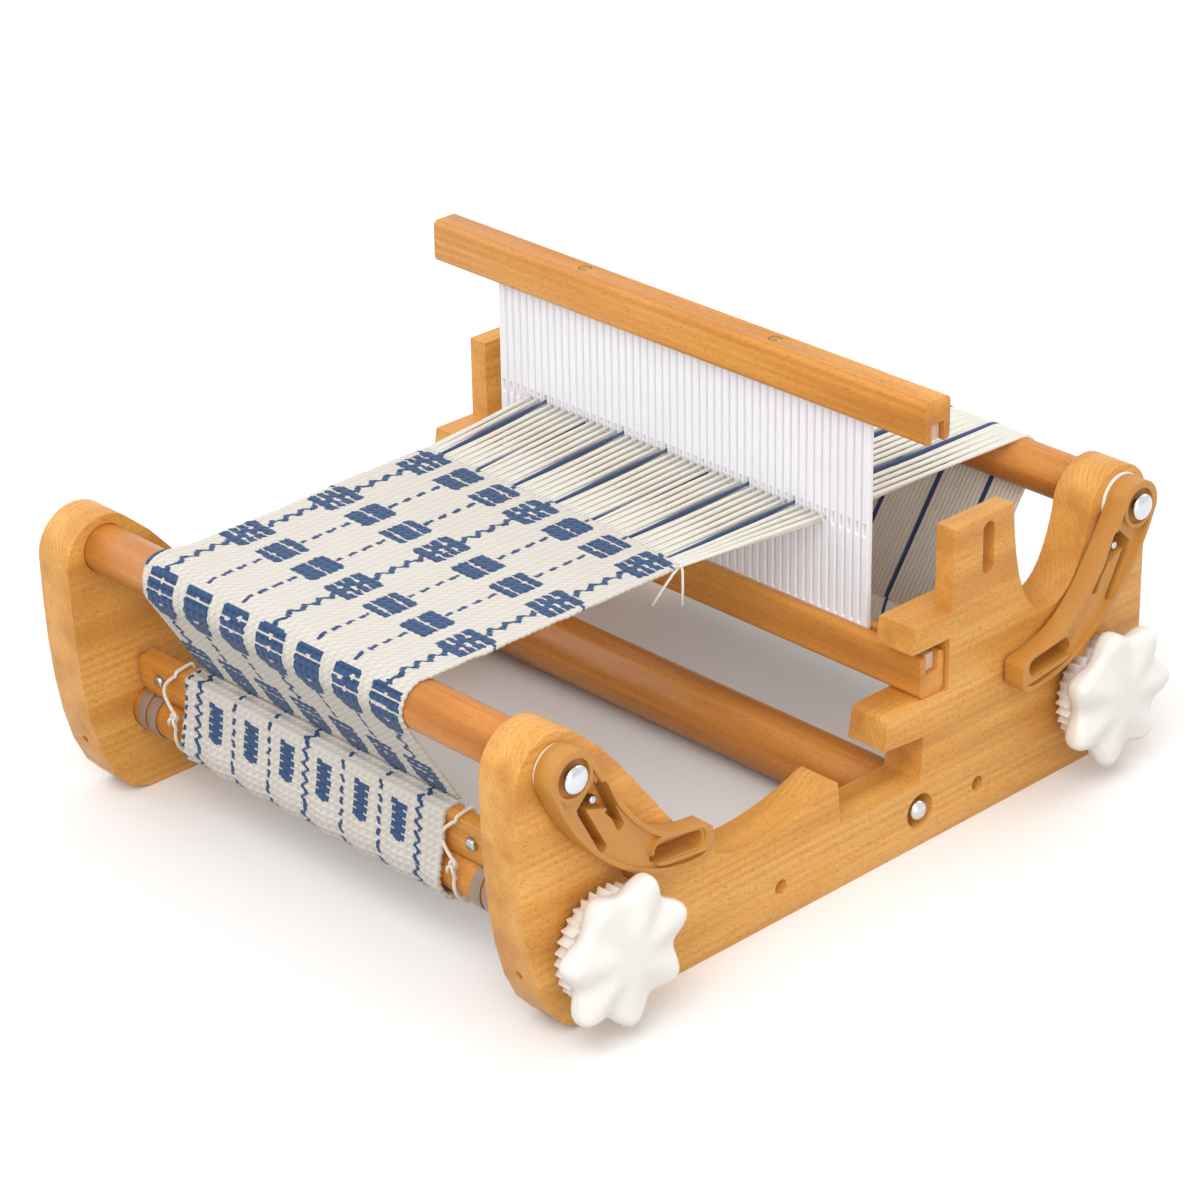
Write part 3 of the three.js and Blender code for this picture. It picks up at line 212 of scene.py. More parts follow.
def moulded(name, color, shade, rough, ior, grit=1.1, strength=0.08, **inputs):
    """Moulded plastic. The eye gets faint clouding, a gloss that varies a little and the fine
    skin the mould leaves, about 0.1 mm in life and drawn 'grit' mm across so that it shows."""
    made, put, add, place = material(name, color, rough, IOR=ior, **inputs)
    cloud = add("TexNoise", {"Vector": place, "Scale": per(17), "Detail": 3})
    skin = add("TexNoise", {"Vector": place, "Scale": per(grit), "Detail": 2})
    clouded = add("Math", {0: cloud, 1: 0.5}, **TIMES)
    put({"Base Color": add("Mix", {0: clouded, 6: color, 7: shade}, **COLORS),
         "Roughness": add("Math", {0: cloud, 1: 0.14, 2: rough - 0.07}, **TIMES_PLUS),
         "Normal": add("Bump", {"Height": skin, "Strength": strength, "Distance": 0.0003})})
    return made


def metal(name, color, shade, rough, marks_mm):
    """Turned and plated or polished metal. The eye gets a hard bright reflection, broken by
    slight tarnish and by tool marks drawn marks_mm apart, coarser than the real 0.1 mm."""
    made, put, add, place = material(name, color, rough, Metallic=1.0)
    marks = add("TexNoise", {"Vector": place, "Scale": per(marks_mm), "Detail": 3,
                             "Roughness": 0.7})
    cloud = add("TexNoise", {"Vector": place, "Scale": per(5.5), "Detail": 3})
    dull = add("Math", {0: cloud, 1: 0.6}, **TIMES)
    put({"Base Color": add("Mix", {0: dull, 6: color, 7: shade}, **COLORS),
         "Roughness": add("Math", {0: marks, 1: 0.2, 2: rough - 0.1}, **TIMES_PLUS),
         "Normal": add("Bump", {"Height": marks, "Strength": 0.1, "Distance": 0.0002})})
    return made


def yarn(name, light, shade, blue="35507C", blue_dark="233A63"):
    """Spun and plied cotton. The eye gets a matt, slightly see-through thread with a ply every
    0.7 mm (the UV map 'twist' runs along and round it), painted shade in the grooves between
    the plies, and a soft fuzz, 0.1 mm in life and drawn 0.67 mm. The attribute 'blue' says which
    threads are dyed."""
    made, put, add, place = material(name, light, 0.85, **{
        "Sheen Weight": 0.25, "Sheen Roughness": 0.5, "Subsurface Weight": 0.4,
        "Subsurface Scale": 0.003, "Subsurface Radius": (1.0, 0.95, 0.85)})
    dyed = add("Attribute", out="Fac", attribute_name="blue")
    dyed = add("Math", {0: dyed, 1: 4.0, 2: -1.4}, **TIMES_PLUS, use_clamp=True)
    cloud = add("TexNoise", {"Vector": place, "Scale": per(7), "Detail": 3})
    cloud = add("Math", {0: cloud, 1: 0.8}, **TIMES)
    fuzz = add("TexNoise", {"Vector": place, "Scale": per(0.67), "Detail": 3})
    plain = add("Mix", {0: cloud, 6: light, 7: shade}, **COLORS)
    blotch = add("TexNoise", {"Vector": place, "Scale": per(2)})
    ink = add("Mix", {0: blotch, 6: blue, 7: blue_dark}, **COLORS)
    twist = add("TexWave", {"Vector": add("UVMap", uv_map="twist"), "Scale": 1.0,
                            "Distortion": 0.6, "Detail": 2.0}, "Fac",
                wave_type="BANDS", bands_direction="DIAGONAL")
    color = add("Mix", {0: dyed, 6: plain, 7: ink}, **COLORS)
    # Painted shade: the colour is multiplied down to 0.92 in the grooves between the plies, with a
    # slight painted highlight up to 1.02 on their crests
    ply_groove_shade = add("Math", {0: twist, 1: 0.1, 2: 0.92}, **TIMES_PLUS)
    soft = add("Math", {0: fuzz, 1: 0.5}, **TIMES)
    height = add("Math", {0: twist, 1: 0.7, 2: soft}, **TIMES_PLUS)
    put({"Base Color": add("Mix", {0: 1.0, 6: color, 7: ply_groove_shade}, **COLORS, blend_type="MULTIPLY"),
         "Normal": add("Bump", {"Height": height, "Strength": 0.5, "Distance": 0.0003})})
    return made


def weave(name, light, shade, blue="234570", blue_dark="132B50", hollow_shade="A99C8A",
          nap="C4B9A8", worn="4F719C"):
    """Hand-woven cotton cloth. The eye gets the ribs of the warp, a thread every 2.25 mm, and
    of the weft, a pick every 1.95 mm: the UV map 'weave' counts both, so every pattern here is
    in threads. Painted shade darkens the hollows between the threads. The dyed floats, where
    the attribute 'blue' is 1, lie over them in pairs of picks: their tops keep the paler blue,
    with worn streaks, and painted shade darkens the blue between the pairs."""
    made, put, add, place = material(name, light, 0.9, **{"Sheen Weight": 0.15,
                                                          "Sheen Roughness": 0.5})
    threads = add("UVMap", uv_map="weave")
    end = add("SeparateXYZ", {0: threads}, 0)
    pick = add("SeparateXYZ", {0: threads}, 1)

    def ridge(count, half_turns, start=0.0):
        wave = add("Math", {0: count, 1: half_turns * pi, 2: start}, **TIMES_PLUS)
        return add("Math", {0: add("Math", {0: wave}, operation="SINE")}, operation="ABSOLUTE")
    twill = ridge(add("Math", {0: end, 1: pick}, operation="ADD"), 0.5)
    cord = ridge(end, 0.5)
    rib = ridge(pick, 1.0)
    pair = ridge(pick, 0.5, pi / 4)
    dyed = add("Attribute", out="Fac", attribute_name="blue")
    dyed = add("Math", {0: dyed, 1: 3.0, 2: -0.9}, **TIMES_PLUS, use_clamp=True)
    cloud = add("TexNoise", {"Vector": place, "Scale": per(11), "Detail": 4})
    along = add("Mapping", {"Vector": threads, "Scale": (0.6, 3.0, 1.0)})
    fuzz = add("TexNoise", {"Vector": along, "Scale": 1, "Detail": 3, "Roughness": 0.6})
    plain = light
    # Painted shade: the hollow colour darkens the twill's hollows and those between the warp ends
    # and between the picks; cloud and nap are the cloth's own uneven tone
    for where, times, plus, color in ((cloud, 0.8, 0.0, shade), (twill, -0.3, 0.3, hollow_shade),
                                      (cord, -0.2, 0.2, hollow_shade), (rib, -0.16, 0.16, hollow_shade),
                                      (fuzz, 0.3, 0.0, nap)):
        share = add("Math", {0: where, 1: times, 2: plus}, **TIMES_PLUS)
        plain = add("Mix", {0: share, 6: plain, 7: color}, **COLORS)
    # Painted shade: the dyed floats darken to blue_dark between each pair of picks, where they dip,
    # and keep the paler blue on top
    between = add("ValToRGB", {"Fac": pair}, stops=((0.15, 1.0), (0.75, 0.0)))
    ink = add("Mix", {0: between, 6: blue, 7: blue_dark}, **COLORS)
    streak = add("Math", {0: fuzz, 1: 0.22}, **TIMES)
    ink = add("Mix", {0: streak, 6: ink, 7: worn}, **COLORS)
    relief = add("Math", {0: fuzz, 1: 0.4}, **TIMES)
    for height in (twill, rib, cord):
        relief = add("Math", {0: height, 1: 0.4, 2: relief}, **TIMES_PLUS)
    put({"Base Color": add("Mix", {0: dyed, 6: plain, 7: ink}, **COLORS),
         "Normal": add("Bump", {"Height": relief, "Strength": 0.6, "Distance": 0.0005})})
    return made


# Beech: pale boards, rails and rollers a shade deeper, and smoother rods that took more oil.
BOARD = wood("planed_beech_board", "Y", "ECAF5E", "DE9F4A", "C9863C", "8E551B")
RAIL = wood("planed_beech_rail", "X", "E4A14C", "D68F3B", "BA742C", "8A4E18")
DOWEL = wood("turned_beech_dowel", "X", "DC964C", "CE843A", "B26C2A", "8A4C1A", 0.36)
# Glossy white ABS for the knobs and the washers.
WHITE = moulded("moulded_white_abs", "F2EEE8", "E6E0D8", 0.32, 1.54)
# Nylon dyed through for the pawls, duller than the knobs.
TAN = moulded("moulded_tan_nylon", "C88A3C", "B47A30", 0.42, 1.53, 1.4, 0.12)
# Milky polypropylene for the comb; the clear stops in the rails show the wood behind them.
COMB = moulded("moulded_milky_polypropylene", "F6F6FA", "EEEEF5", 0.35, 1.49, 2.0, 0.05)
LUG = moulded("moulded_clear_styrene", "DDBFA6", "C49E80", 0.45, 1.5, 2.0, 0.1)
# Smoky PVC tape wound round the roller: a little light comes back through it.
BAND = moulded("wound_smoky_pvc_tape", "B29A88", "9C8676", 0.3, 1.5, 1.7, 0.1,
               **{"Transmission Weight": 0.25})
STEEL = metal("turned_zinc_plated_steel", "C9CCD0", "A9ADB2", 0.28, 1.4)
CHROME = metal("polished_chromed_steel", "DDE0E4", "C4C8CE", 0.14, 3.3)
BRASS = metal("turned_brass", "C9A45A", "A5803A", 0.32, 1.4)
YARN = yarn("plied_cotton_warp", "F3F0E6", "E8E2D4")
CORD = yarn("twisted_cotton_cord", "F1ECE0", "E0D7C6")
CLOTH = weave("handwoven_cotton_cloth", "E3DFDA", "D8D2CA")


# Making pieces

def finished(obj, body, material, replaced):
    obj.data.materials.clear()
    obj.data.materials.append(material)
    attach(obj, body)
    if replaced:
        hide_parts(*replaced)
    return obj


def fabric(name, verts, faces, blue, map_name, per_vertex):
    """A cord's or a cloth's mesh, with what is dyed and the map that its pattern follows."""
    me = bpy.data.meshes.new(name)
    me.from_pydata([tuple(v) for v in verts], [], [tuple(f) for f in faces])
    me.update()
    me.shade_smooth()
    me.attributes.new("blue", "FLOAT", "POINT").data.foreach_set("value", blue)
    index = np.zeros(len(me.loops), int)
    me.loops.foreach_get("vertex_index", index)
    uv = np.asarray(per_vertex)[index]
    me.uv_layers.new(name=map_name).data.foreach_set("uv", uv.ravel())
    return linked(name, me)


def placed(name, bm, at=None, flip_x=1, flip_y=1, turn=0.0):
    """The bmesh as an object that faces outwards. It is drawn in millimetres round the point at,
    mirrored where a flip is -1 and turned about X; with no such point it is in place."""
    if at:
        here = Matrix.Translation(P(*at)) @ Matrix.Rotation(turn, 4, "X")
        size = Matrix.Diagonal((flip_x * 0.001, flip_y * 0.001, 0.001, 1))
        bmesh.ops.transform(bm, matrix=here @ size, verts=bm.verts)
    bmesh.ops.recalc_face_normals(bm, faces=bm.faces)
    me = bpy.data.meshes.new(name)
    bm.to_mesh(me)
    bm.free()
    return linked(name, me)


def extruded(bm, faces, by, narrower=1.0):
    """Moves a copy of the faces, with sides between; gives all that is new at its far end."""
    made = bmesh.ops.extrude_face_region(bm, geom=faces, use_keep_orig=True)["geom"]
    moved = [v for v in made if isinstance(v, bmesh.types.BMVert)]
    bmesh.ops.scale(bm, vec=(1, narrower, narrower), verts=moved)
    bmesh.ops.translate(bm, verts=moved, vec=by)
    return made


def raised(bm, outline, x0, x1):
    """A block with this outline of (y, z), from x0 to x1 off the board; gives its rim edges."""
    face = bm.faces.new([bm.verts.new((x0, y, z)) for y, z in outline])
    made = extruded(bm, [face], (x1 - x0, 0, 0))
    return list(face.edges) + [e for e in made if isinstance(e, bmesh.types.BMEdge)]


def turned(profile, steps, closed=False):
    """A profile of (x, radius) spun round the X axis, as on a lathe."""
    bm = bmesh.new()
    verts = [bm.verts.new((x, r, 0)) for x, r in profile]
    pairs = zip(verts, verts[1:] + (verts[:1] if closed else []))
    edges = [bm.edges.new(pair) for pair in pairs]
    bmesh.ops.spin(bm, geom=verts + edges, cent=(0, 0, 0), axis=(1, 0, 0), angle=tau,
                   steps=steps, use_merge=True)
    return bm


def apply(obj):
    """Replaces the mesh by what its modifiers make of it."""
    dg = bpy.context.evaluated_depsgraph_get()
    made = bpy.data.meshes.new_from_object(obj.evaluated_get(dg))
    obj.modifiers.clear()
    obj.data = made


def cut(obj, cutter):
    mod = obj.modifiers.new("cut", "BOOLEAN")
    mod.operation = "DIFFERENCE"
    mod.solver = "EXACT"
    mod.object = cutter
    apply(obj)
    bpy.data.objects.remove(cutter)


def merge(obj, distance=JOIN):
    """Joins corners that lie together, such as those of a CAD node's loose triangles."""
    bm = bmesh.new()
    bm.from_mesh(obj.data)
    bmesh.ops.remove_doubles(bm, verts=bm.verts, dist=distance)
    bm.to_mesh(obj.data)
    bm.free()


def smooth_by_angle(obj, angle):
    bm = bmesh.new()
    bm.from_mesh(obj.data)
    for f in bm.faces:
        f.smooth = True
    for e in bm.edges:
        e.smooth = len(e.link_faces) == 2 and e.calc_face_angle(0) < angle
    bm.to_mesh(obj.data)
    bm.free()


def bevel(obj, width, segments, weight=None, dissolve=True):
    """Rounds the edges over 34 degrees; weight(middle) gives an edge's share of the width."""
    bm = bmesh.new()
    bm.from_mesh(obj.data)
    bmesh.ops.remove_doubles(bm, verts=bm.verts, dist=JOIN)
    if dissolve:
        bmesh.ops.dissolve_limit(bm, angle_limit=0.015, verts=bm.verts, edges=bm.edges)
    layer = bm.edges.layers.float.new("bevel_weight_edge")
    for e in bm.edges:
        if len(e.link_faces) == 2 and e.calc_face_angle(0) > 0.6:
            e[layer] = weight((e.verts[0].co + e.verts[1].co) / 2) if weight else 1.0
    bm.to_mesh(obj.data)
    bm.free()
    mod = obj.modifiers.new("bevel", "BEVEL")
    mod.width = width
    mod.segments = segments
    mod.limit_method = "WEIGHT"
    apply(obj)
    smooth_by_angle(obj, 0.7)


def dress(node, body, material, width, segments, weight=None, prep=None):
    """A copy of a CAD node with rounded edges, shown in its place."""
    obj = linked(node + "_dressed", nodes[node].data.copy())
    if prep:
        prep(obj)
    bevel(obj, width, segments, weight)
    finished(obj, body, material, [node])


def tube(points, radius, sides, closed=False):
    """Vertices, faces and (along, round) values of a tube along points, in metres."""
    pts = [Vector(p) for p in points]
    n = len(pts)
    first, last = (pts[-1:], pts[:1]) if closed else (pts[:1], pts[-1:])
    tangents = [(b - a).normalized() for a, b in zip(first + pts, pts[1:] + last)]
    normal = tangents[0].orthogonal().normalized()
    verts, faces, twist = [], [], []
    along = 0.0
    for i, (p, t) in enumerate(zip(pts, tangents)):
        normal = (normal - t * normal.dot(t)).normalized()
        side = t.cross(normal)
        if i:
            along += (p - pts[i - 1]).length
        r = radius[i] if isinstance(radius, list) else radius
        for k in range(sides):
            a = tau * k / sides
            verts.append(p + (normal * cos(a) + side * sin(a)) * r)
            twist.append((along, k / sides))
    for i in range(n if closed else n - 1):
        for k in range(sides):
            a, b = i * sides + k, i * sides + (k + 1) % sides
            c, d = ((i + 1) % n) * sides + (k + 1) % sides, ((i + 1) % n) * sides + k
            faces.append((a, b, c, d))
    if not closed:
        faces.append(tuple(range(sides))[::-1])
        faces.append(tuple(range((n - 1) * sides, n * sides)))
    return verts, faces, twist


def spun(name, tubes, blue, plies):
    """One mesh of many tubes, each dyed 0 or 1, with this many plies to the metre."""
    verts, faces, twist, dyed = [], [], [], []
    for (v, f, t), b in zip(tubes, blue):
        base = len(verts)
        verts += v
        faces += [tuple(i + base for i in face) for face in f]
        twist += t
        dyed += [float(b)] * len(v)
    return fabric(name, verts, faces, dyed, "twist", np.array(twist) * (plies, 1.5))


def yarns(name, strands):
    """Strands, each (points in loom mm, radii in mm, dyed 0 or 1)."""
    tubes = [tube([P(*p) for p in points], [r / 1000 for r in radii], 6)
             for points, radii, dyed in strands]
    return spun(name, tubes, [dyed for points, radii, dyed in strands], 900.0)


def wrap(circles):
    """(y, z, normal angle), a mm apart, round the tight outline of circles (y, z, radius)."""
    n = len(circles)
    angle = []
    for i, (y0, z0, r0) in enumerate(circles):
        y1, z1, r1 = circles[(i + 1) % n]
        heading = atan2(z1 - z0, y1 - y0)
        angle.append(heading - acos((r0 - r1) / hypot(y1 - y0, z1 - z0)))
    out = []
    for i, (y, z, r) in enumerate(circles):
        a0, a1 = angle[i - 1], angle[i]
        while a1 < a0:
            a1 += tau
        count = max(3, int(r * (a1 - a0)))
        for k in range(count + 1):
            a = a0 + (a1 - a0) * k / count
            out.append((y + r * cos(a), z + r * sin(a), a))
        y1, z1, r1 = circles[(i + 1) % n]
        y, z, a = out[-1]
        dy, dz = y1 + r1 * cos(a1) - y, z1 + r1 * sin(a1) - z
        count = max(1, int(hypot(dy, dz)))
        out += [(y + dy * f, z + dz * f, a1) for f in (k / count for k in range(1, count))]
    return out


# Woven cloth: a grid of warp ends across and picks along, with its dyed floats

PICK = 1.95
LINES = [-83.8 + 26.3 * i for i in range(7)]
ROWS = (11.3, 68.0, 122.5, 184.5, 237.0)
GAPS = {
    "single": ((0.3, 0.0, -9, 9),),
    "double": ((-4.7, 0.4, -9, 9), (5.4, -0.4, -9, 9)),
    "rosette": ((-4.7, 3.4, 4, 10), (-4.7, -3.4, -10, -4), (0.5, 0.6, -10, -5), (0.5, 3.0, 5, 10),
                (5.0, -3.4, -10, -4), (5.0, 3.2, 4, 10)),
    "single rod": ((-9.5, 4.0, 2, 9), (-7.0, -4.0, -9, -2), (-2.4, 0.0, -9, 9)),
    "double rod": ((-8.4, 0.0, -9, 9), (3.5, 0.0, -2, 2)),
    "rosette rod": ((-8.9, 0.0, -10, 10), (-3.2, 0.0, -10, 10), (3.8, 0.0, -2, 2)),
}


def block(kind, a, b):
    """Where a block is dyed, a mm along the warp and b mm across from its middle."""
    on_rod = kind.endswith("rod")
    half = 13.6 if on_rod else 11.0 if kind == "rosette" else 10.2
    wide = 9.5 if kind.startswith("rosette") else 8.7
    pick = np.floor(a / PICK + 0.5)
    ragged = 0.35 * np.sin(pick * 2.4 + wide)
    corner = np.clip(np.abs(a) - half + 1.4, 0, 2) ** 2 * 0.8
    if on_rod:
        corner = corner + np.clip(a - 6, 0, 9) * 0.55
    inside = (np.abs(a) < half) & (np.abs(b + ragged) < wide - corner)
    for at, middle, low, high in GAPS[kind]:
        inside &= ~((np.abs(a - at) < 0.5) & (b > low) & (b < high))
        inside &= np.hypot((a - at) / 1.2, (b - middle) / 1.5) > 1
    return inside


def zigzag(s, b, period, swing, thick):
    """A dyed thread that snakes to and fro, thicker on its way right."""
    turn = tau * s / period
    width = thick * np.where(np.cos(turn) > 0, 1.25, 0.72)
    return np.abs(b - swing * np.sin(turn)) < width


def pattern(x, s):
    """Dyed floats of the cloth at x mm across and s mm from the woven edge."""
    blue = np.zeros_like(s, dtype=bool)
    s = s - 0.03 * (x + 84) * np.clip((200 - s) / 60, 0.3, 1)
    free = np.ones_like(blue)
    for row, middle in enumerate(ROWS):
        free &= np.abs(s - middle) > (14.2 if row > 2 else 11.2)
    rows = np.array(ROWS)
    last = rows[np.clip(np.searchsorted(rows, s) - 1, 0, 4)]
    dash = np.mod(s - last - 15.3 + 2.9, 9.0)
    drift = -6.7 * np.clip((s - 180) / 65, 0, 1)
    for i, line in enumerate(LINES):
        b = x - line - drift
        for row, middle in enumerate(ROWS):
            kind = ("rosette", "single", "double")[i % 3]
            if row > 1 and i % 3:
                kind = "double" if kind == "single" else "single"
            blue |= block(kind + (" rod" if row > 2 else ""), s - middle, b)
            if row < 3 and i in (0, 6):
                tail = b * (1 if i else -1)
                blue |= (np.abs(s - middle + 8 - 0.3 * (tail - 9)) < 0.8) & (tail > 8) & (tail < 13)
        if i % 3:
            blue |= free & (dash < 5.8) & (np.abs(b - 0.12 * (dash - 2.9)) < 1.15)
        else:
            blue |= free & zigzag(s, b, 9.0, 1.5, 1.5)
    return blue


def pattern_on_roll(x, s):
    """The lines and the ladders between them, as they lie on the rolled cloth."""
    blue = np.zeros_like(s, dtype=bool)
    for i in range(7):
        b = x + 90 - 26.2 * i
        if i % 3:
            dash = np.mod(s, 6.1)
            blue |= (dash < 4.1) & (np.abs(b - 0.5 * np.sin(s * 0.9 + i)) < 1.15)
        else:
            blue |= zigzag(s, b, 6.1, 1.5, 1.4)
        b = x + 76.9 - 26.2 * i
        a = s - 106.6 - 0.12 * b
        bar = np.mod((a + 9.8) / 3.95, 1.0)
        wide = 5.3 - 0.4 * np.abs(np.sin(np.floor((a + 9.8) / 3.95) * 1.3))
        if i < 6:
            solid = (bar < 0.72) | (np.abs(b) < 2.4)
            blue |= (np.abs(a) < 9.8) & solid & (np.abs(b) < wide)
    blue |= (np.abs(x - ROLL_EDGES[0] - 1.6) < 1.0) & (np.mod(s, 5.2) < 2.9)
    return blue


def cloth_grid(name, path, edges, pattern_of, thick=1.0, shift=None, bulge=None, closed=False):
    """A woven sheet along path = [(y, z, normal, s)], between edges(s) = (left, right): fine on
    top, where the threads stand out, and coarser below. Closed, it joins up as a roll and is
    ribbed by its weft."""
    columns = 280
    t = np.linspace(0, 1, columns + 1)
    y, z, a, s = (np.array(c)[:, None] for c in zip(*path))
    left, right = (np.array(c)[:, None] for c in zip(*[edges(v) for v in s[:, 0]]))
    x = left + (right - left) * t
    for at, inwards in (((3.1, 0.0), t), ((9.7, 5.0), 1 - t)):
        wander = [noise.noise(Vector((0.13 * v, *at))) for v in s[:, 0]]
        x = x + 0.9 * np.array(wander)[:, None] * np.exp(-inwards * 25)
    x = x + 0.3 * np.sin(s * pi / PICK) * (np.exp(-t * 90) - np.exp(-(1 - t) * 90))
    end = np.broadcast_to(t * THREADS, x.shape)
    ss = np.broadcast_to(s, x.shape)
    dy = shift(x, ss) if shift else np.zeros_like(x)
    blue = pattern_of(x, ss - dy).astype(float)
    out = bulge(x, ss) if bulge else 0.0
    ripple = 0.12 * np.sin(end * pi) * np.sin(ss * pi / PICK)
    ribs, high = (ss / PICK, 0.5) if closed else (end, 0.3)
    rib = high * np.abs(np.sin(ribs * pi / 2))
    rib = rib + blue * (0.2 + 0.35 * np.abs(np.sin((ss / PICK + 0.5) * pi / 2)))
    y = y + dy
    top, low = (np.stack([x, y + np.cos(a) * off, z + np.sin(a) * off], -1)
                for off in (thick / 2 + ripple + rib + out, -thick / 2 + ripple + out))
    rows = len(path)
    cols = list(range(0, columns + 1, 7))
    if closed:
        top[-1], low[-1] = top[0], low[0]
    top, low = top.reshape(-1, 3), low[:, cols].reshape(-1, 3)
    grid = np.arange(rows * (columns + 1)).reshape(rows, columns + 1)
    g2 = np.arange(rows * len(cols)).reshape(rows, len(cols)) + grid.size
    quads = [np.stack([grid[1:, :-1], grid[1:, 1:], grid[:-1, 1:], grid[:-1, :-1]], -1),
             np.stack([g2[:-1, :-1], g2[:-1, 1:], g2[1:, 1:], g2[1:, :-1]], -1),
             np.stack([grid[:-1, 0], g2[:-1, 0], g2[1:, 0], grid[1:, 0]], -1)[None],
             np.stack([grid[1:, -1], g2[1:, -1], g2[:-1, -1], grid[:-1, -1]], -1)[None]]
    faces = [tuple(f) for q in quads for f in q.reshape(-1, 4)]
    if not closed:
        faces.append(tuple(grid[0]) + tuple(g2[0][::-1]))
        faces.append(tuple(grid[-1][::-1]) + tuple(g2[-1]))
    verts = (np.concatenate([top, low]) + (SHIFT_X, 0, 0)) / 1000
    value = np.concatenate([blue.ravel(), blue[:, cols].ravel()])
    uv = np.stack([end, ss / PICK], -1)
    uv = np.concatenate([uv.reshape(-1, 2), uv[:, cols].reshape(-1, 2)])
    return fabric(name, verts, faces, value, "weave", uv)


def over_rod(side, roll, radius, short, gap):
    """The bend over a rod and the straight run down to a roll, as [(y, z, normal)]."""
    bend = ROD_R + gap
    dy, dz = roll[0] * side - ROD_Y, roll[1] - ROD_Z
    far = hypot(dy, dz)
    heading = atan2(dz, dy) - asin((bend + radius) / far)
    last = heading + pi / 2
    out = []
    for i in range(25):
        n = pi / 2 + (last - pi / 2) * i / 24
        out.append((ROD_Y + bend * cos(n), ROD_Z + bend * sin(n), n))
    run = sqrt(far ** 2 - (bend + radius) ** 2) - short
    y, z, n = out[-1]
    out.append((y + run * cos(heading), z + run * sin(heading), n))
    return [(side * y, z, n if side > 0 else pi - n) for y, z, n in out]


def resample(points, step):
    """Points every step mm along (y, z, normal), with the length so far."""
    p = np.array(points)
    d = np.concatenate([[0], np.cumsum(np.hypot(*(p[1:, :2] - p[:-1, :2]).T))])
    s = np.linspace(0, d[-1], int(d[-1] / step) + 1)
    return [(*(np.interp(v, d, p[:, k]) for k in range(3)), v) for v in s]


# The cloth stick's place: where its corners are, seen along the loom

LEAN = radians(8)


def stick_point(y, z):
    """A point of the stick, y from its back face and z from its lower edge."""
    y, z = y + 4.0, z + ROLLER_R + 1.4
    c, s = cos(LEAN), sin(LEAN)
    return -ROLLER_Y + y * c - z * s, ROLLER_Z + y * s + z * c


def roll_circles(on_roller, on_stick):
    return [(-ROLLER_Y, ROLLER_Z, ROLLER_R + on_roller),
            (*stick_point(0, 21), on_stick), (*stick_point(-8, 21), on_stick)]


def fell_y(x):
    return -25.0 - 0.00065 * np.maximum(x + 10, 0) ** 2


def web():
    corner = roll_circles(0, 2.4)[1]
    down = over_rod(-1, corner, 2.4, 1.2, 0.9)
    path = resample([(-27.0, WARP_Z, pi / 2)] + down, 0.92)

    def edges(s):
        left = np.interp(s, (0, 50, 90, 150, 160, 172, 182, 249),
                         (-97.5, -97.3, -94.6, -94.4, -98.5, -99.6, -97, -101))
        right = np.interp(s, (0, 150, 165, 249), (87, 86.5, 85.6, 83))
        return left, right

    def shift(x, s):
        return (fell_y(x) + 27.0) * np.clip(1 - s / 30, 0, 1)

    def marks(x, s):
        return pattern(x, s) | ((x < -96.9) & (s > 158.5) & (s < 172.5))
    obj = cloth_grid("cloth", path, edges, marks, shift=shift)
    return finished(obj, "frame", CLOTH, ["cloth_web"]), path[-1][3]


cloth, cloth_length = web()


def cloth_roll():
    ring = wrap(roll_circles(1.9, 0.8))
    path = resample(ring + [ring[0]], 0.95)
    total = path[-1][3]

    def bulge(x, s):
        below = np.clip((s - 104) / 14, 0, 1) + np.clip((26 - s) / 14, 0, 1)
        return 1.5 * below * (0.5 - 0.5 * np.cos(tau * (x + 90) / 26.2)) - 0.1

    def marks(x, s):
        return pattern_on_roll(x, s * 124.2 / total)
    obj = cloth_grid("cloth_on_roller", path[::-1], lambda s: ROLL_EDGES, marks, 1.8,
                     bulge=bulge, closed=True)
    merge(obj, 1e-6)
    finished(obj, "cloth_beam", CLOTH, ["cloth_roll"])


cloth_roll()


# Warp threads

def span(start, end, steps, place, seed):
    """Points at these eighths of the way from start to end, straying a little sideways."""
    out = []
    for f in (i / 8 for i in steps):
        wave = 0.25 * noise.noise(Vector((place, f * 3, seed))) * sin(f * pi)
        x, y, z = (a + (b - a) * f for a, b in zip(start, end))
        out.append((x + wave, y, z))
    return out


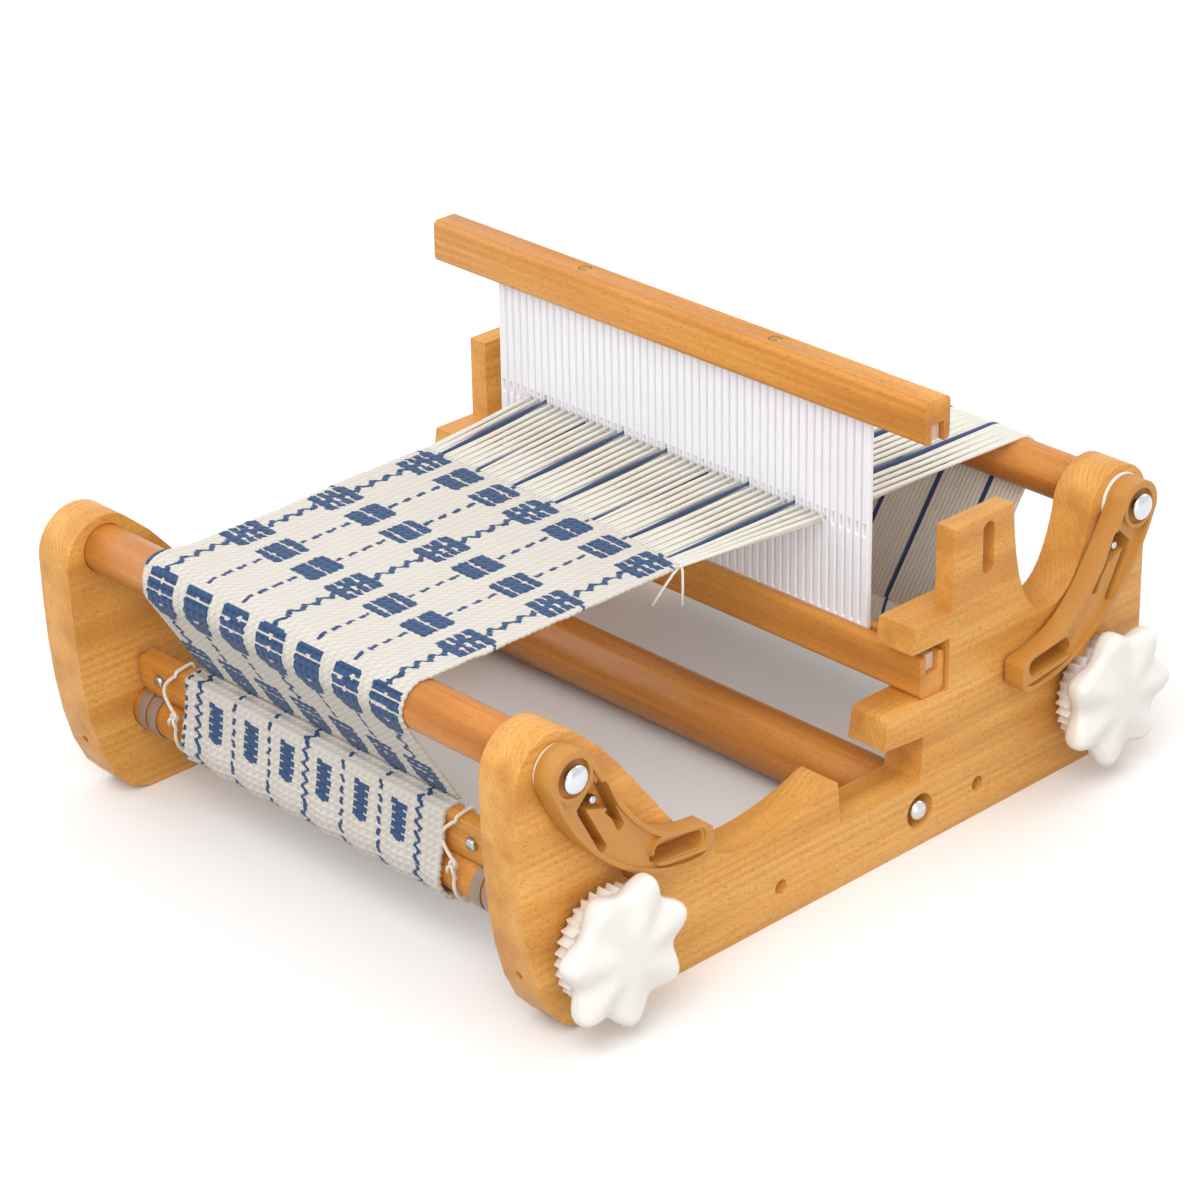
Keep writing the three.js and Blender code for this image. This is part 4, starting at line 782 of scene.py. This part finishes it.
def warp():
    """Each thread from the cloth through the reed, where it is pinched, and over the back rod."""
    front, back = [], []
    pinched, reed_front, reed_back = 0.85, 55.6, 59.4
    down = over_rod(1, (ROLLER_Y, ROLLER_Z), 23.6, 0.0, 0.7)
    for k in range(THREADS):
        m = FIRST_DENT + k
        dyed = k in BLUE_ENDS
        low = 3.6 if m % 2 else 0.0
        x0 = float(np.interp(k, (0, 5, 73, THREADS - 1), (-96.7, -86.3, 76.3, 86.2)))
        x1 = REED_X + (m - MIDDLE_DENT) * DENT
        x2 = BACK[0] + (BACK[1] - BACK[0]) * (k + 0.5) / THREADS
        y0 = float(fell_y(x0)) - 1.5
        r = (1.34 if dyed else 1.18) + 0.06 * noise.noise(Vector((k * 1.7, 0, 0)))
        z1 = WARP_Z - low
        a = span((x0, y0, WARP_Z), (x1, reed_front, z1), range(9), k * 2.3, 4.0)
        front.append((a, [0.8, 0.92, 1.05] + [r] * 4 + [0.5 * (r + pinched), pinched], dyed))
        b = [(x1, reed_front, z1), (x1, reed_back, z1)]
        b += span(b[1], (x2, ROD_Y, ROD_Z + ROD_R + 0.7), range(1, 8), k * 1.9, 8.0)
        b += [(x2, y, z) for y, z, n in down[::2] + down[-1:]]
        back.append((b, [pinched, pinched, 0.5 * (r + pinched)] + [r] * (len(b) - 3), dyed))
    f = yarns("warp_before_reed", front)
    b = yarns("warp_behind_reed", back)
    for obj, node, start, end in ((f, "warp_front", -26, 54), (b, "warp_back", 176, 60)):
        obj.data.materials.append(YARN)
        P(0, start, 149)
        P(0, end, 149)
        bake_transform(obj)
        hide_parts(node)


warp()


def warp_roll():
    """Many turns side by side: a profile with a ridge for each thread, spun round the roller."""
    across = 4 * THREADS
    width = BACK[1] - BACK[0]
    ends = ((11.5, 1.2), (15.0, 0.9), (18.0, 0.9), (20.5, 0.5))
    profile = [(BACK[0] + deep, r) for r, deep in ends]
    for i in range(across + 1):
        end = i / across * THREADS
        profile.append((BACK[0] + width * i / across,
                        22.2 + 0.55 * abs(sin(pi * end)) ** 0.6))
    profile += [(BACK[1] - deep, r) for r, deep in reversed(ends)]
    bm = turned(profile, 72, closed=True)
    twist = bm.loops.layers.uv.new("twist")
    blue = bm.verts.layers.float.new("blue")
    for f in bm.faces:
        middle = f.calc_center_median()
        around = atan2(middle.z, middle.y)
        for loop in f.loops:
            x, y, z = loop.vert.co
            turn = (atan2(z, y) - around + pi) % tau - pi + around
            loop[twist].uv = (turn / tau * 140, (x - BACK[0]) / width * THREADS * 0.5)
    for v in bm.verts:
        x, y, z = v.co
        r = hypot(y, z)
        end = (x - BACK[0]) / width * THREADS
        v[blue] = float(r > 22 and any(abs(end - b - 0.5) < 0.45 for b in BLUE_ENDS))
        if r > 22:
            lump = 1 + 0.35 / r * noise.noise(Vector((x * 0.07, y / r * 2, z / r * 2)))
            v.co = (x, y * lump, z * lump)
    obj = placed("warp_on_roller", bm, (0, ROLLER_Y, ROLLER_Z))
    obj.data.shade_smooth()
    finished(obj, "warp_beam", YARN, ["warp_roll"])


warp_roll()


# Wooden pieces

def frame_weight(middle):
    """Well rounded round the nose and crests, less elsewhere, and hardly where the wall between
    the stretcher's socket and the reed's low seat is thin."""
    y, z = middle.y * 1000, middle.z * 1000
    x = abs(middle.x * 1000 - SHIFT_X)
    if min(abs(x - INNER_X), abs(x - OUTER_X)) > 0.5:
        return 0.2
    if hypot(abs(y) - ROD_Y, z - ROD_Z) < 14:
        return 0.15
    near_socket = hypot(y - STRETCHER_Y, z - STRETCHER_Z) < 20
    if near_socket or (abs(z - SEAT_Z) < 1 and -8 < y < 50):
        return 0.03
    if abs(y) > 172 and z > 3 and (abs(y) > 195 or z > 140):
        return 1.0
    return 0.22


for side, out in SIDES:
    dress("side_frame_" + side, "frame", BOARD, 0.0045, 4, frame_weight)
for name in ("front_rod", "back_rod", "stretcher"):
    dress(name, "frame", DOWEL, 0.0006, 2)
for part, width, segments in (("roller", 0.0006, 2), ("stick", 0.0009, 3)):
    for beam in ("cloth", "warp"):
        dress(f"{beam}_{part}", beam + "_beam", RAIL, width, segments)

# For each rail, the height of its groove's mouth and the way in: up or down
GROOVE_MOUTH = {"top": (207.6, 1), "bottom": (99.3, -1)}


def block_at(name, x0, x1, wide, z0, z1):
    """A block on the reed's middle plane, in loom millimetres, this wide to each side of it."""
    bm = bmesh.new()
    raised(bm, [(-wide, z0), (wide, z0), (wide, z1), (-wide, z1)], x0, x1)
    return placed(name, bm, (0, REED_Y, 0))


def rail(name):
    """A rail with its groove widened at both ends, where a plastic lug closes it."""
    mouth, inwards = GROOVE_MOUTH[name]

    def widen(obj):
        merge(obj)
        for side, out in SIDES:
            x = REED_X + RAIL_HALF * out
            cut(obj, block_at("socket", x - 7, x + 7, 4.3, mouth - 2 * inwards,
                              mouth + 10 * inwards))
    dress("reed_" + name + "_rail", "reed", RAIL, 0.0006, 2, prep=widen)
    for side, out in SIDES:
        x = REED_X + RAIL_HALF * out
        ends = sorted((x - 6.6 * out, x - 2.2 * out))
        levels = sorted((mouth + 0.6 * inwards, mouth + 9.5 * inwards))
        obj = block_at(f"reed_lug_{name}_{side}", *ends, 3.5, *levels)
        bevel(obj, 0.0006, 2)
        finished(obj, "reed", LUG, ())


for name in ("top", "bottom"):
    rail(name)
    for side, out in SIDES:
        dress(f"reed_screw_{name}_{side}", "reed", BRASS, 0.0003, 2)
for name in ("stretcher_bolt_left", "stretcher_bolt_right", "front_rod_bolt_left",
             "back_rod_bolt_left"):
    dress(name, "frame", STEEL, 0.0004, 2)
for name in ("front_pawl_peg", "back_pawl_peg"):
    dress(name, "frame", STEEL, 0.0005, 3)
for name in ("cloth_stick_screw_left", "cloth_stick_screw_right"):
    dress(name, "cloth_beam", STEEL, 0.0003, 2)
for i in range(4):
    dress(f"roller_band_{i + 1}", "cloth_beam", BAND, 0.00035, 3)


def comb():
    """The bars of the reed with an eye in each, cut out of a grid and given their thickness."""
    pitch, slot, eye, margin = 2 * DENT, 1.9, 1.9, 6.5
    low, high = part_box("reed_comb")
    xs = [REED_X + (i - 24.5) * pitch + at for i in range(50)
          for at in ((slot - pitch) / 2, -eye / 2, eye / 2, (pitch - slot) / 2)]
    xs[0], xs[-1] = REED_X - 25 * pitch, REED_X + 25 * pitch
    z0, z1 = low[2] * 1000, high[2] * 1000
    zs = [z0, z0 + margin, WARP_Z - 3.5, WARP_Z + 3.5, z1 - margin, z1]
    bm = bmesh.new()
    bmesh.ops.create_grid(bm, x_segments=len(xs) - 1, y_segments=len(zs) - 1, size=0.5)
    place = {v: (round((v.co.x + 0.5) * (len(xs) - 1)), round((v.co.y + 0.5) * (len(zs) - 1)))
             for v in bm.verts}
    gaps = []
    for f in bm.faces:
        i = min(place[v][0] for v in f.verts) % 4
        j = min(place[v][1] for v in f.verts)
        if 0 < j < 4 and (i == 3 or (i == 1 and j == 2)):
            gaps.append(f)
    for v, (i, j) in place.items():
        v.co = P(xs[i], REED_Y - 1.5, zs[j])
    bmesh.ops.delete(bm, geom=gaps, context="FACES")
    extruded(bm, bm.faces[:], (0, 0.003, 0))
    obj = placed("reed_bars", bm)
    bevel(obj, 0.0005, 3, dissolve=False)
    finished(obj, "reed", COMB, ["reed_comb"])


comb()


# Knobs with their ratchets

def polar(angles, radius):
    return [(radius(a) * cos(a), radius(a) * sin(a)) for a in angles]


def knob(name, body, side, node):
    """A lobed grip, its neck and hub, and the ratchet between them. side is -1 at the front;
    the back knob is its mirror image in y, a tooth further on."""
    grip_r, lobes, lobe_depth, middle, half, rounding, pressed = 37.0, 7, 7.0, 21.0, 6.5, 5.8, 2.4
    rings, count = 26, 32

    def valley(a):
        return (1 - cos(lobes * (a - radians(15)))) / 2

    def lobed(a):
        return grip_r - lobe_depth * valley(a) ** 0.85
    bm = bmesh.new()
    raised(bm, polar([tau * k / 210 for k in range(210)], lobed), middle - half, middle + half)
    top = max(bm.faces, key=lambda f: f.calc_center_median().x)
    long = [e for e in bm.edges if abs(e.verts[0].co.x - e.verts[1].co.x) > 10]
    bmesh.ops.subdivide_edges(bm, edges=long, cuts=17)
    for v in bm.verts:
        off = half * sin((v.co.x - middle) / half * pi / 2)
        deep = max(0.0, abs(off) - (half - rounding))
        r = hypot(v.co.y, v.co.z)
        drawn_in = rounding - sqrt(max(0.0, rounding ** 2 - deep ** 2))
        v.co = (middle + off, v.co.y * (1 - drawn_in / r), v.co.z * (1 - drawn_in / r))
    for ring in range(rings):
        outer, inner = 1 - ring / (rings + 3), 1 - (ring + 1) / (rings + 3)
        proud = 0.62 * (outer ** 3 - inner ** 3)
        made = extruded(bm, [top], (proud, 0, 0), inner / outer)
        bmesh.ops.delete(bm, geom=[top], context="FACES_ONLY")
        top = next(f for f in made if isinstance(f, bmesh.types.BMFace))
    for v in bm.verts:
        a, r = atan2(v.co.z, v.co.y), hypot(v.co.y, v.co.z)
        fade = min(max((r - 8) / 20, 0), 1) * min(max((v.co.x - middle) / 5, 0), 1)
        v.co.x -= pressed * fade * fade * (3 - 2 * fade) * valley(a)
    circle = [tau * k / 96 for k in range(96)]
    raised(bm, polar(circle, lambda a: 22.0), 13.0, 16.0)
    raised(bm, polar(circle, lambda a: 20.0), 1.5, 6.5)
    tooth = tau / count
    teeth = []
    for start in (radians(61) + k * tooth for k in range(count)):
        for f, r in ((0.0, 24.75), (0.06, 24.75), (0.58, 27.7), (0.64, 27.95), (0.69, 27.75),
                     (0.94, 25.0)):
            teeth.append((r * cos(start + tooth * f), r * sin(start + tooth * f)))
    bmesh.ops.bevel(bm, geom=raised(bm, teeth, 5.5, 13.5), offset=0.3, segments=1,
                    affect="EDGES", profile=0.5, material=-1)
    obj = placed(name, bm, (OUTER_X, side * ROLLER_Y, ROLLER_Z), flip_y=-side,
                 turn=0.0 if side < 0 else -tooth)
    smooth_by_angle(obj, 1.0)
    finished(obj, body, WHITE, [node])


knob("cloth_knob_lobed", "cloth_beam", -1, "cloth_knob")
knob("warp_knob_lobed", "warp_beam", 1, "warp_knob")


# Pawls, drawn in mm from the pivot: y towards the loom's middle, z up, and x off the board

def bezier(*ends):
    """Twenty points of the curve from the first of four to the last, without the first."""
    return [tuple((1 - t) ** 3 * a + 3 * (1 - t) ** 2 * t * b + 3 * (1 - t) * t * t * c
                  + t ** 3 * d for a, b, c, d in zip(*ends))
            for t in (i / 20 for i in range(1, 21))]


PAWL_FACE, PAWL_REACH, PAWL_DROP = 13.7, 84.0, -72.0
PAWL_TIP = ((52.5, -57), (74, -60))
PIVOT = (0, 0)


def pawl_outline():
    """The pawl's edge: round its pivot, down and along the lower side, and back along the upper
    one."""
    far, low = PAWL_REACH, PAWL_DROP
    angles = [radians(14 + 183 * i / 20) for i in range(21)]
    pts = [(13 * cos(a), 13 * sin(a)) for a in angles]
    pts += bezier(pts[-1], (2, -40), (far * 0.38, low + 4), (far - 14, low))
    pts += [(far - 7, low), (far - 2, low + 2), (far, low + 7), (far, low + 14.5),
            (far - 2, low + 16.5)]
    pts += bezier(pts[-1], (far * 0.62, low + 19), (far * 0.45, low + 30), pts[0])[:-1]
    return pts


def offset(pts, d):
    """The outline drawn in by d, for a counter-clockwise list."""
    out = []
    n = len(pts)
    for i in range(n):
        p, q, r = (Vector(pts[j % n]) for j in (i - 1, i, i + 1))
        a, b = (q - p).normalized(), (r - q).normalized()
        na, nb = Vector((-a.y, a.x)), Vector((-b.y, b.x))
        m = (na + nb).normalized()
        out.append(tuple(q + m * d / max(0.5, m.dot(na))))
    return out


def prism(name, pts, x0, x1, side):
    """A solid from pawl coordinates, between two distances from the board."""
    bm = bmesh.new()
    raised(bm, pts, x0, x1)
    return placed(name, bm, (OUTER_X, side * ROD_Y, ROD_Z), flip_y=-side)


def capsule(a, b, r, n=12):
    """The outline of a slot with round ends, from a to b; a round hole where they agree."""
    along = atan2(b[1] - a[1], b[0] - a[0])
    out = []
    for (y, z), first in ((b, -pi / 2), (a, pi / 2)):
        for k in range(n + 1):
            t = along + first + pi * k / n
            out.append((y + r * cos(t), z + r * sin(t)))
    return out


def pawl(node, body, side):
    """The CAD pawl with a sunk face that leaves a rim, a collar round the pivot and a rim round
    the tip's slot, and with the two slots that free its spring tongue."""
    def bore(name, a, b, r, depth, n=12, over=2):
        return prism(name, capsule(a, b, r, n), PAWL_FACE - depth, PAWL_FACE + over, side)

    def carve(obj):
        merge(obj)
        rim = offset(pawl_outline(), 2.4)
        pocket = prism("pocket", rim, PAWL_FACE - 2.6, PAWL_FACE + 2, side)
        cut(pocket, bore("collar", PIVOT, PIVOT, 11.2, 4, 24, over=4))
        cut(pocket, bore("tip_rim", (55, -57), (80, -60), 8.0, 4, over=4))
        cut(obj, pocket)
        cut(obj, bore("seat", PIVOT, PIVOT, 9.3, 3.2, 24))
        cut(obj, bore("step", *PAWL_TIP, 5.6, 1.1))
        for a, b, r in (((6.2, -19.5), (18.6, -42.5), 2.3), ((17.2, -10.5), (29.2, -35.5), 2.3),
                        (*PAWL_TIP, 4.1)):
            cut(obj, bore("slot", a, b, r, PAWL_FACE))
    dress(node, body, TAN, 0.0006, 2, prep=carve)


def dome(name, y, z, base, radius, rise, shank, out=1, node=None):
    """A polished round head standing off a board's face, with its shank going in."""
    profile = [(base - shank, 0.0), (base - shank, 2.0), (base, 2.0), (base, radius)]
    profile += [(base + 0.6 + rise * sin(t), radius * cos(t))
                for t in (pi / 2 * k / 10 for k in range(11))]
    bm = turned(profile, 40)
    bmesh.ops.remove_doubles(bm, verts=bm.verts, dist=1e-4)
    obj = placed(name, bm, (out * OUTER_X, y, z), flip_x=out)
    smooth_by_angle(obj, 0.6)
    finished(obj, "frame", CHROME, [node] if node else ())


def washer(name, side, radius):
    """A thin white disc with a bore for the pivot, between the pawl and the board."""
    obj = prism(name + "_round", capsule(PIVOT, PIVOT, radius, 32), 0.3, 2.1, side)
    cut(obj, prism("bore", capsule(PIVOT, PIVOT, 2.8), -1, 4, side))
    bevel(obj, 0.0004, 2)
    finished(obj, "frame", WHITE, [name])


for name, side, radius in (("front", -1, 12.0), ("back", 1, 13.6)):
    washer(name + "_pawl_washer", side, radius)
    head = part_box(name + "_pawl_pivot")
    base = head[1][0] * 1000 - SHIFT_X - OUTER_X - 3.0
    dome(name + "_pivot_dome", side * ROD_Y, ROD_Z, base, 6.8, 2.6, 11.0,
         node=name + "_pawl_pivot")
for name, out in SIDES:
    dome("stretcher_cap_" + name, STRETCHER_Y, STRETCHER_Z, -3.0, 5.6, 4.4, 2.0, out)
pawl("front_pawl", "front_pawl_body", -1)
pawl("back_pawl", "back_pawl_body", 1)


# Cords that tie the stick to its roller

def tie(name, x, node):
    """A cord round the roller and its stick, bowed out in front, with a knot and two ends."""
    clear = 1.5
    ring = resample([(y, z, a) for y, z, a in wrap(roll_circles(clear, clear))], 1.2)
    knot_y, knot_z = -ROLLER_Y - ROLLER_R - clear - 1, ROLLER_Z + ROLLER_R
    points = []
    for y, z, a, s in ring:
        front = min(max(0.0, -(y + ROLLER_Y) / ROLLER_R), 1)
        rise = (z - knot_z) / 21
        bow = 9 * sin(rise * pi) if 0 < rise < 1.6 else 0.0
        points.append((x - front * max(bow, 0.0), y, z))
    tubes = [tube([P(*p) for p in points], 0.0009, 10, closed=True)]
    near = min(points, key=lambda p: hypot(p[1] - knot_y, p[2] - knot_z))
    for turn, tilt in ((0, 0.5), (1, -0.6)):
        loop = []
        for i in range(20):
            a = tau * i / 20
            loop.append(P(near[0] + 1.7 * cos(a), near[1] - 0.7 + tilt * cos(a),
                          near[2] + 1.6 * sin(a) + turn * 0.9))
        tubes.append(tube(loop, 0.0009, 8, closed=True))
    for dx, dz in ((-3.2, -5.0), (2.6, -6.2)):
        end = [P(near[0] + dx * f, near[1] - 1.2 - 1.6 * sin(f * 3), near[2] + dz * f * f)
               for f in (0, 0.25, 0.5, 0.75, 1.0)]
        tubes.append(tube(end, 0.0008, 8))
    obj = spun(name, tubes, [0] * len(tubes), 700.0)
    finished(obj, "cloth_beam", CORD, [node])


tie("tie_left", -109, "cloth_tie_left")
tie("tie_right", 91, "cloth_tie_right")


# Yarn tails at the woven edge

def tails():
    x, y = 86.0, float(fell_y(86.0))
    ends = (((0, 0, 149.2), (1.5, -6, 148), (1.2, -13, 142), (-0.5, -18, 135)),
            ((0, 0.5, 149.2), (2.6, -1, 148), (4.6, -3, 141), (5.2, -4, 132)))
    strands = [([(x + dx, y + dy, z) for dx, dy, z in end], [0.7] * 4, 0) for end in ends]
    return finished(yarns("yarn_tails", strands), "frame", CORD, ())


tails()


# Floor, backdrop and light

def seen(add):
    """1 where the eye looks, straight on, in a reflection or through a piece; 0 for light."""
    path = [add("LightPath", out=f"Is {ray} Ray") for ray in ("Camera", "Glossy", "Transmission")]
    either = add("Math", {0: path[0], 1: path[1]}, operation="MAXIMUM")
    return add("Math", {0: either, 1: path[2]}, operation="MAXIMUM")


def studio():
    """A plain pale floor, white to the camera and in reflections, with soft lamps all round."""
    bpy.ops.mesh.primitive_plane_add(size=8, location=(0, 0, 0))
    floor = bpy.context.object
    floor.name = "floor"
    made, put, add, place = material("matt_white_paper_floor", "F7F7F7", 0.9)
    fibre = add("TexNoise", {"Vector": place, "Scale": 3, "Detail": 2})
    paper = add("ValToRGB", {"Fac": fibre}, stops=((0.0, "FAFAFA"), (1.0, "FBFBFB")))
    put({"Base Color": add("Mix", {0: seen(add), 6: "B2B2B0", 7: paper}, **COLORS)})
    floor.data.materials.append(made)
    world = bpy.data.worlds.new("world")
    bpy.context.scene.world = world
    sky = Nodes(world, "Background")
    sky.put({"Color": (1, 1, 1, 1),
             "Strength": sky.add("MapRange", {"Value": seen(sky.add), "To Min": 0.82})})
    for name, where, size, power in (("key", (0.9, -1.3, 1.7), 1.4, 17),
                                     ("fill", (-1.6, -0.8, 1.2), 1.6, 10),
                                     ("back", (0.3, 1.6, 1.6), 1.4, 10),
                                     ("side", (1.7, -0.9, 0.5), 1.2, 8)):
        data = bpy.data.lights.new(name, "AREA")
        data.size = size
        data.energy = power
        lamp = linked(name, data)
        lamp.location = where
        lamp.rotation_euler = (Vector((0, 0, 0.08)) - Vector(where)).to_track_quat(
            "-Z", "Y").to_euler()


studio()
bpy.context.scene.view_settings.view_transform = "Standard"
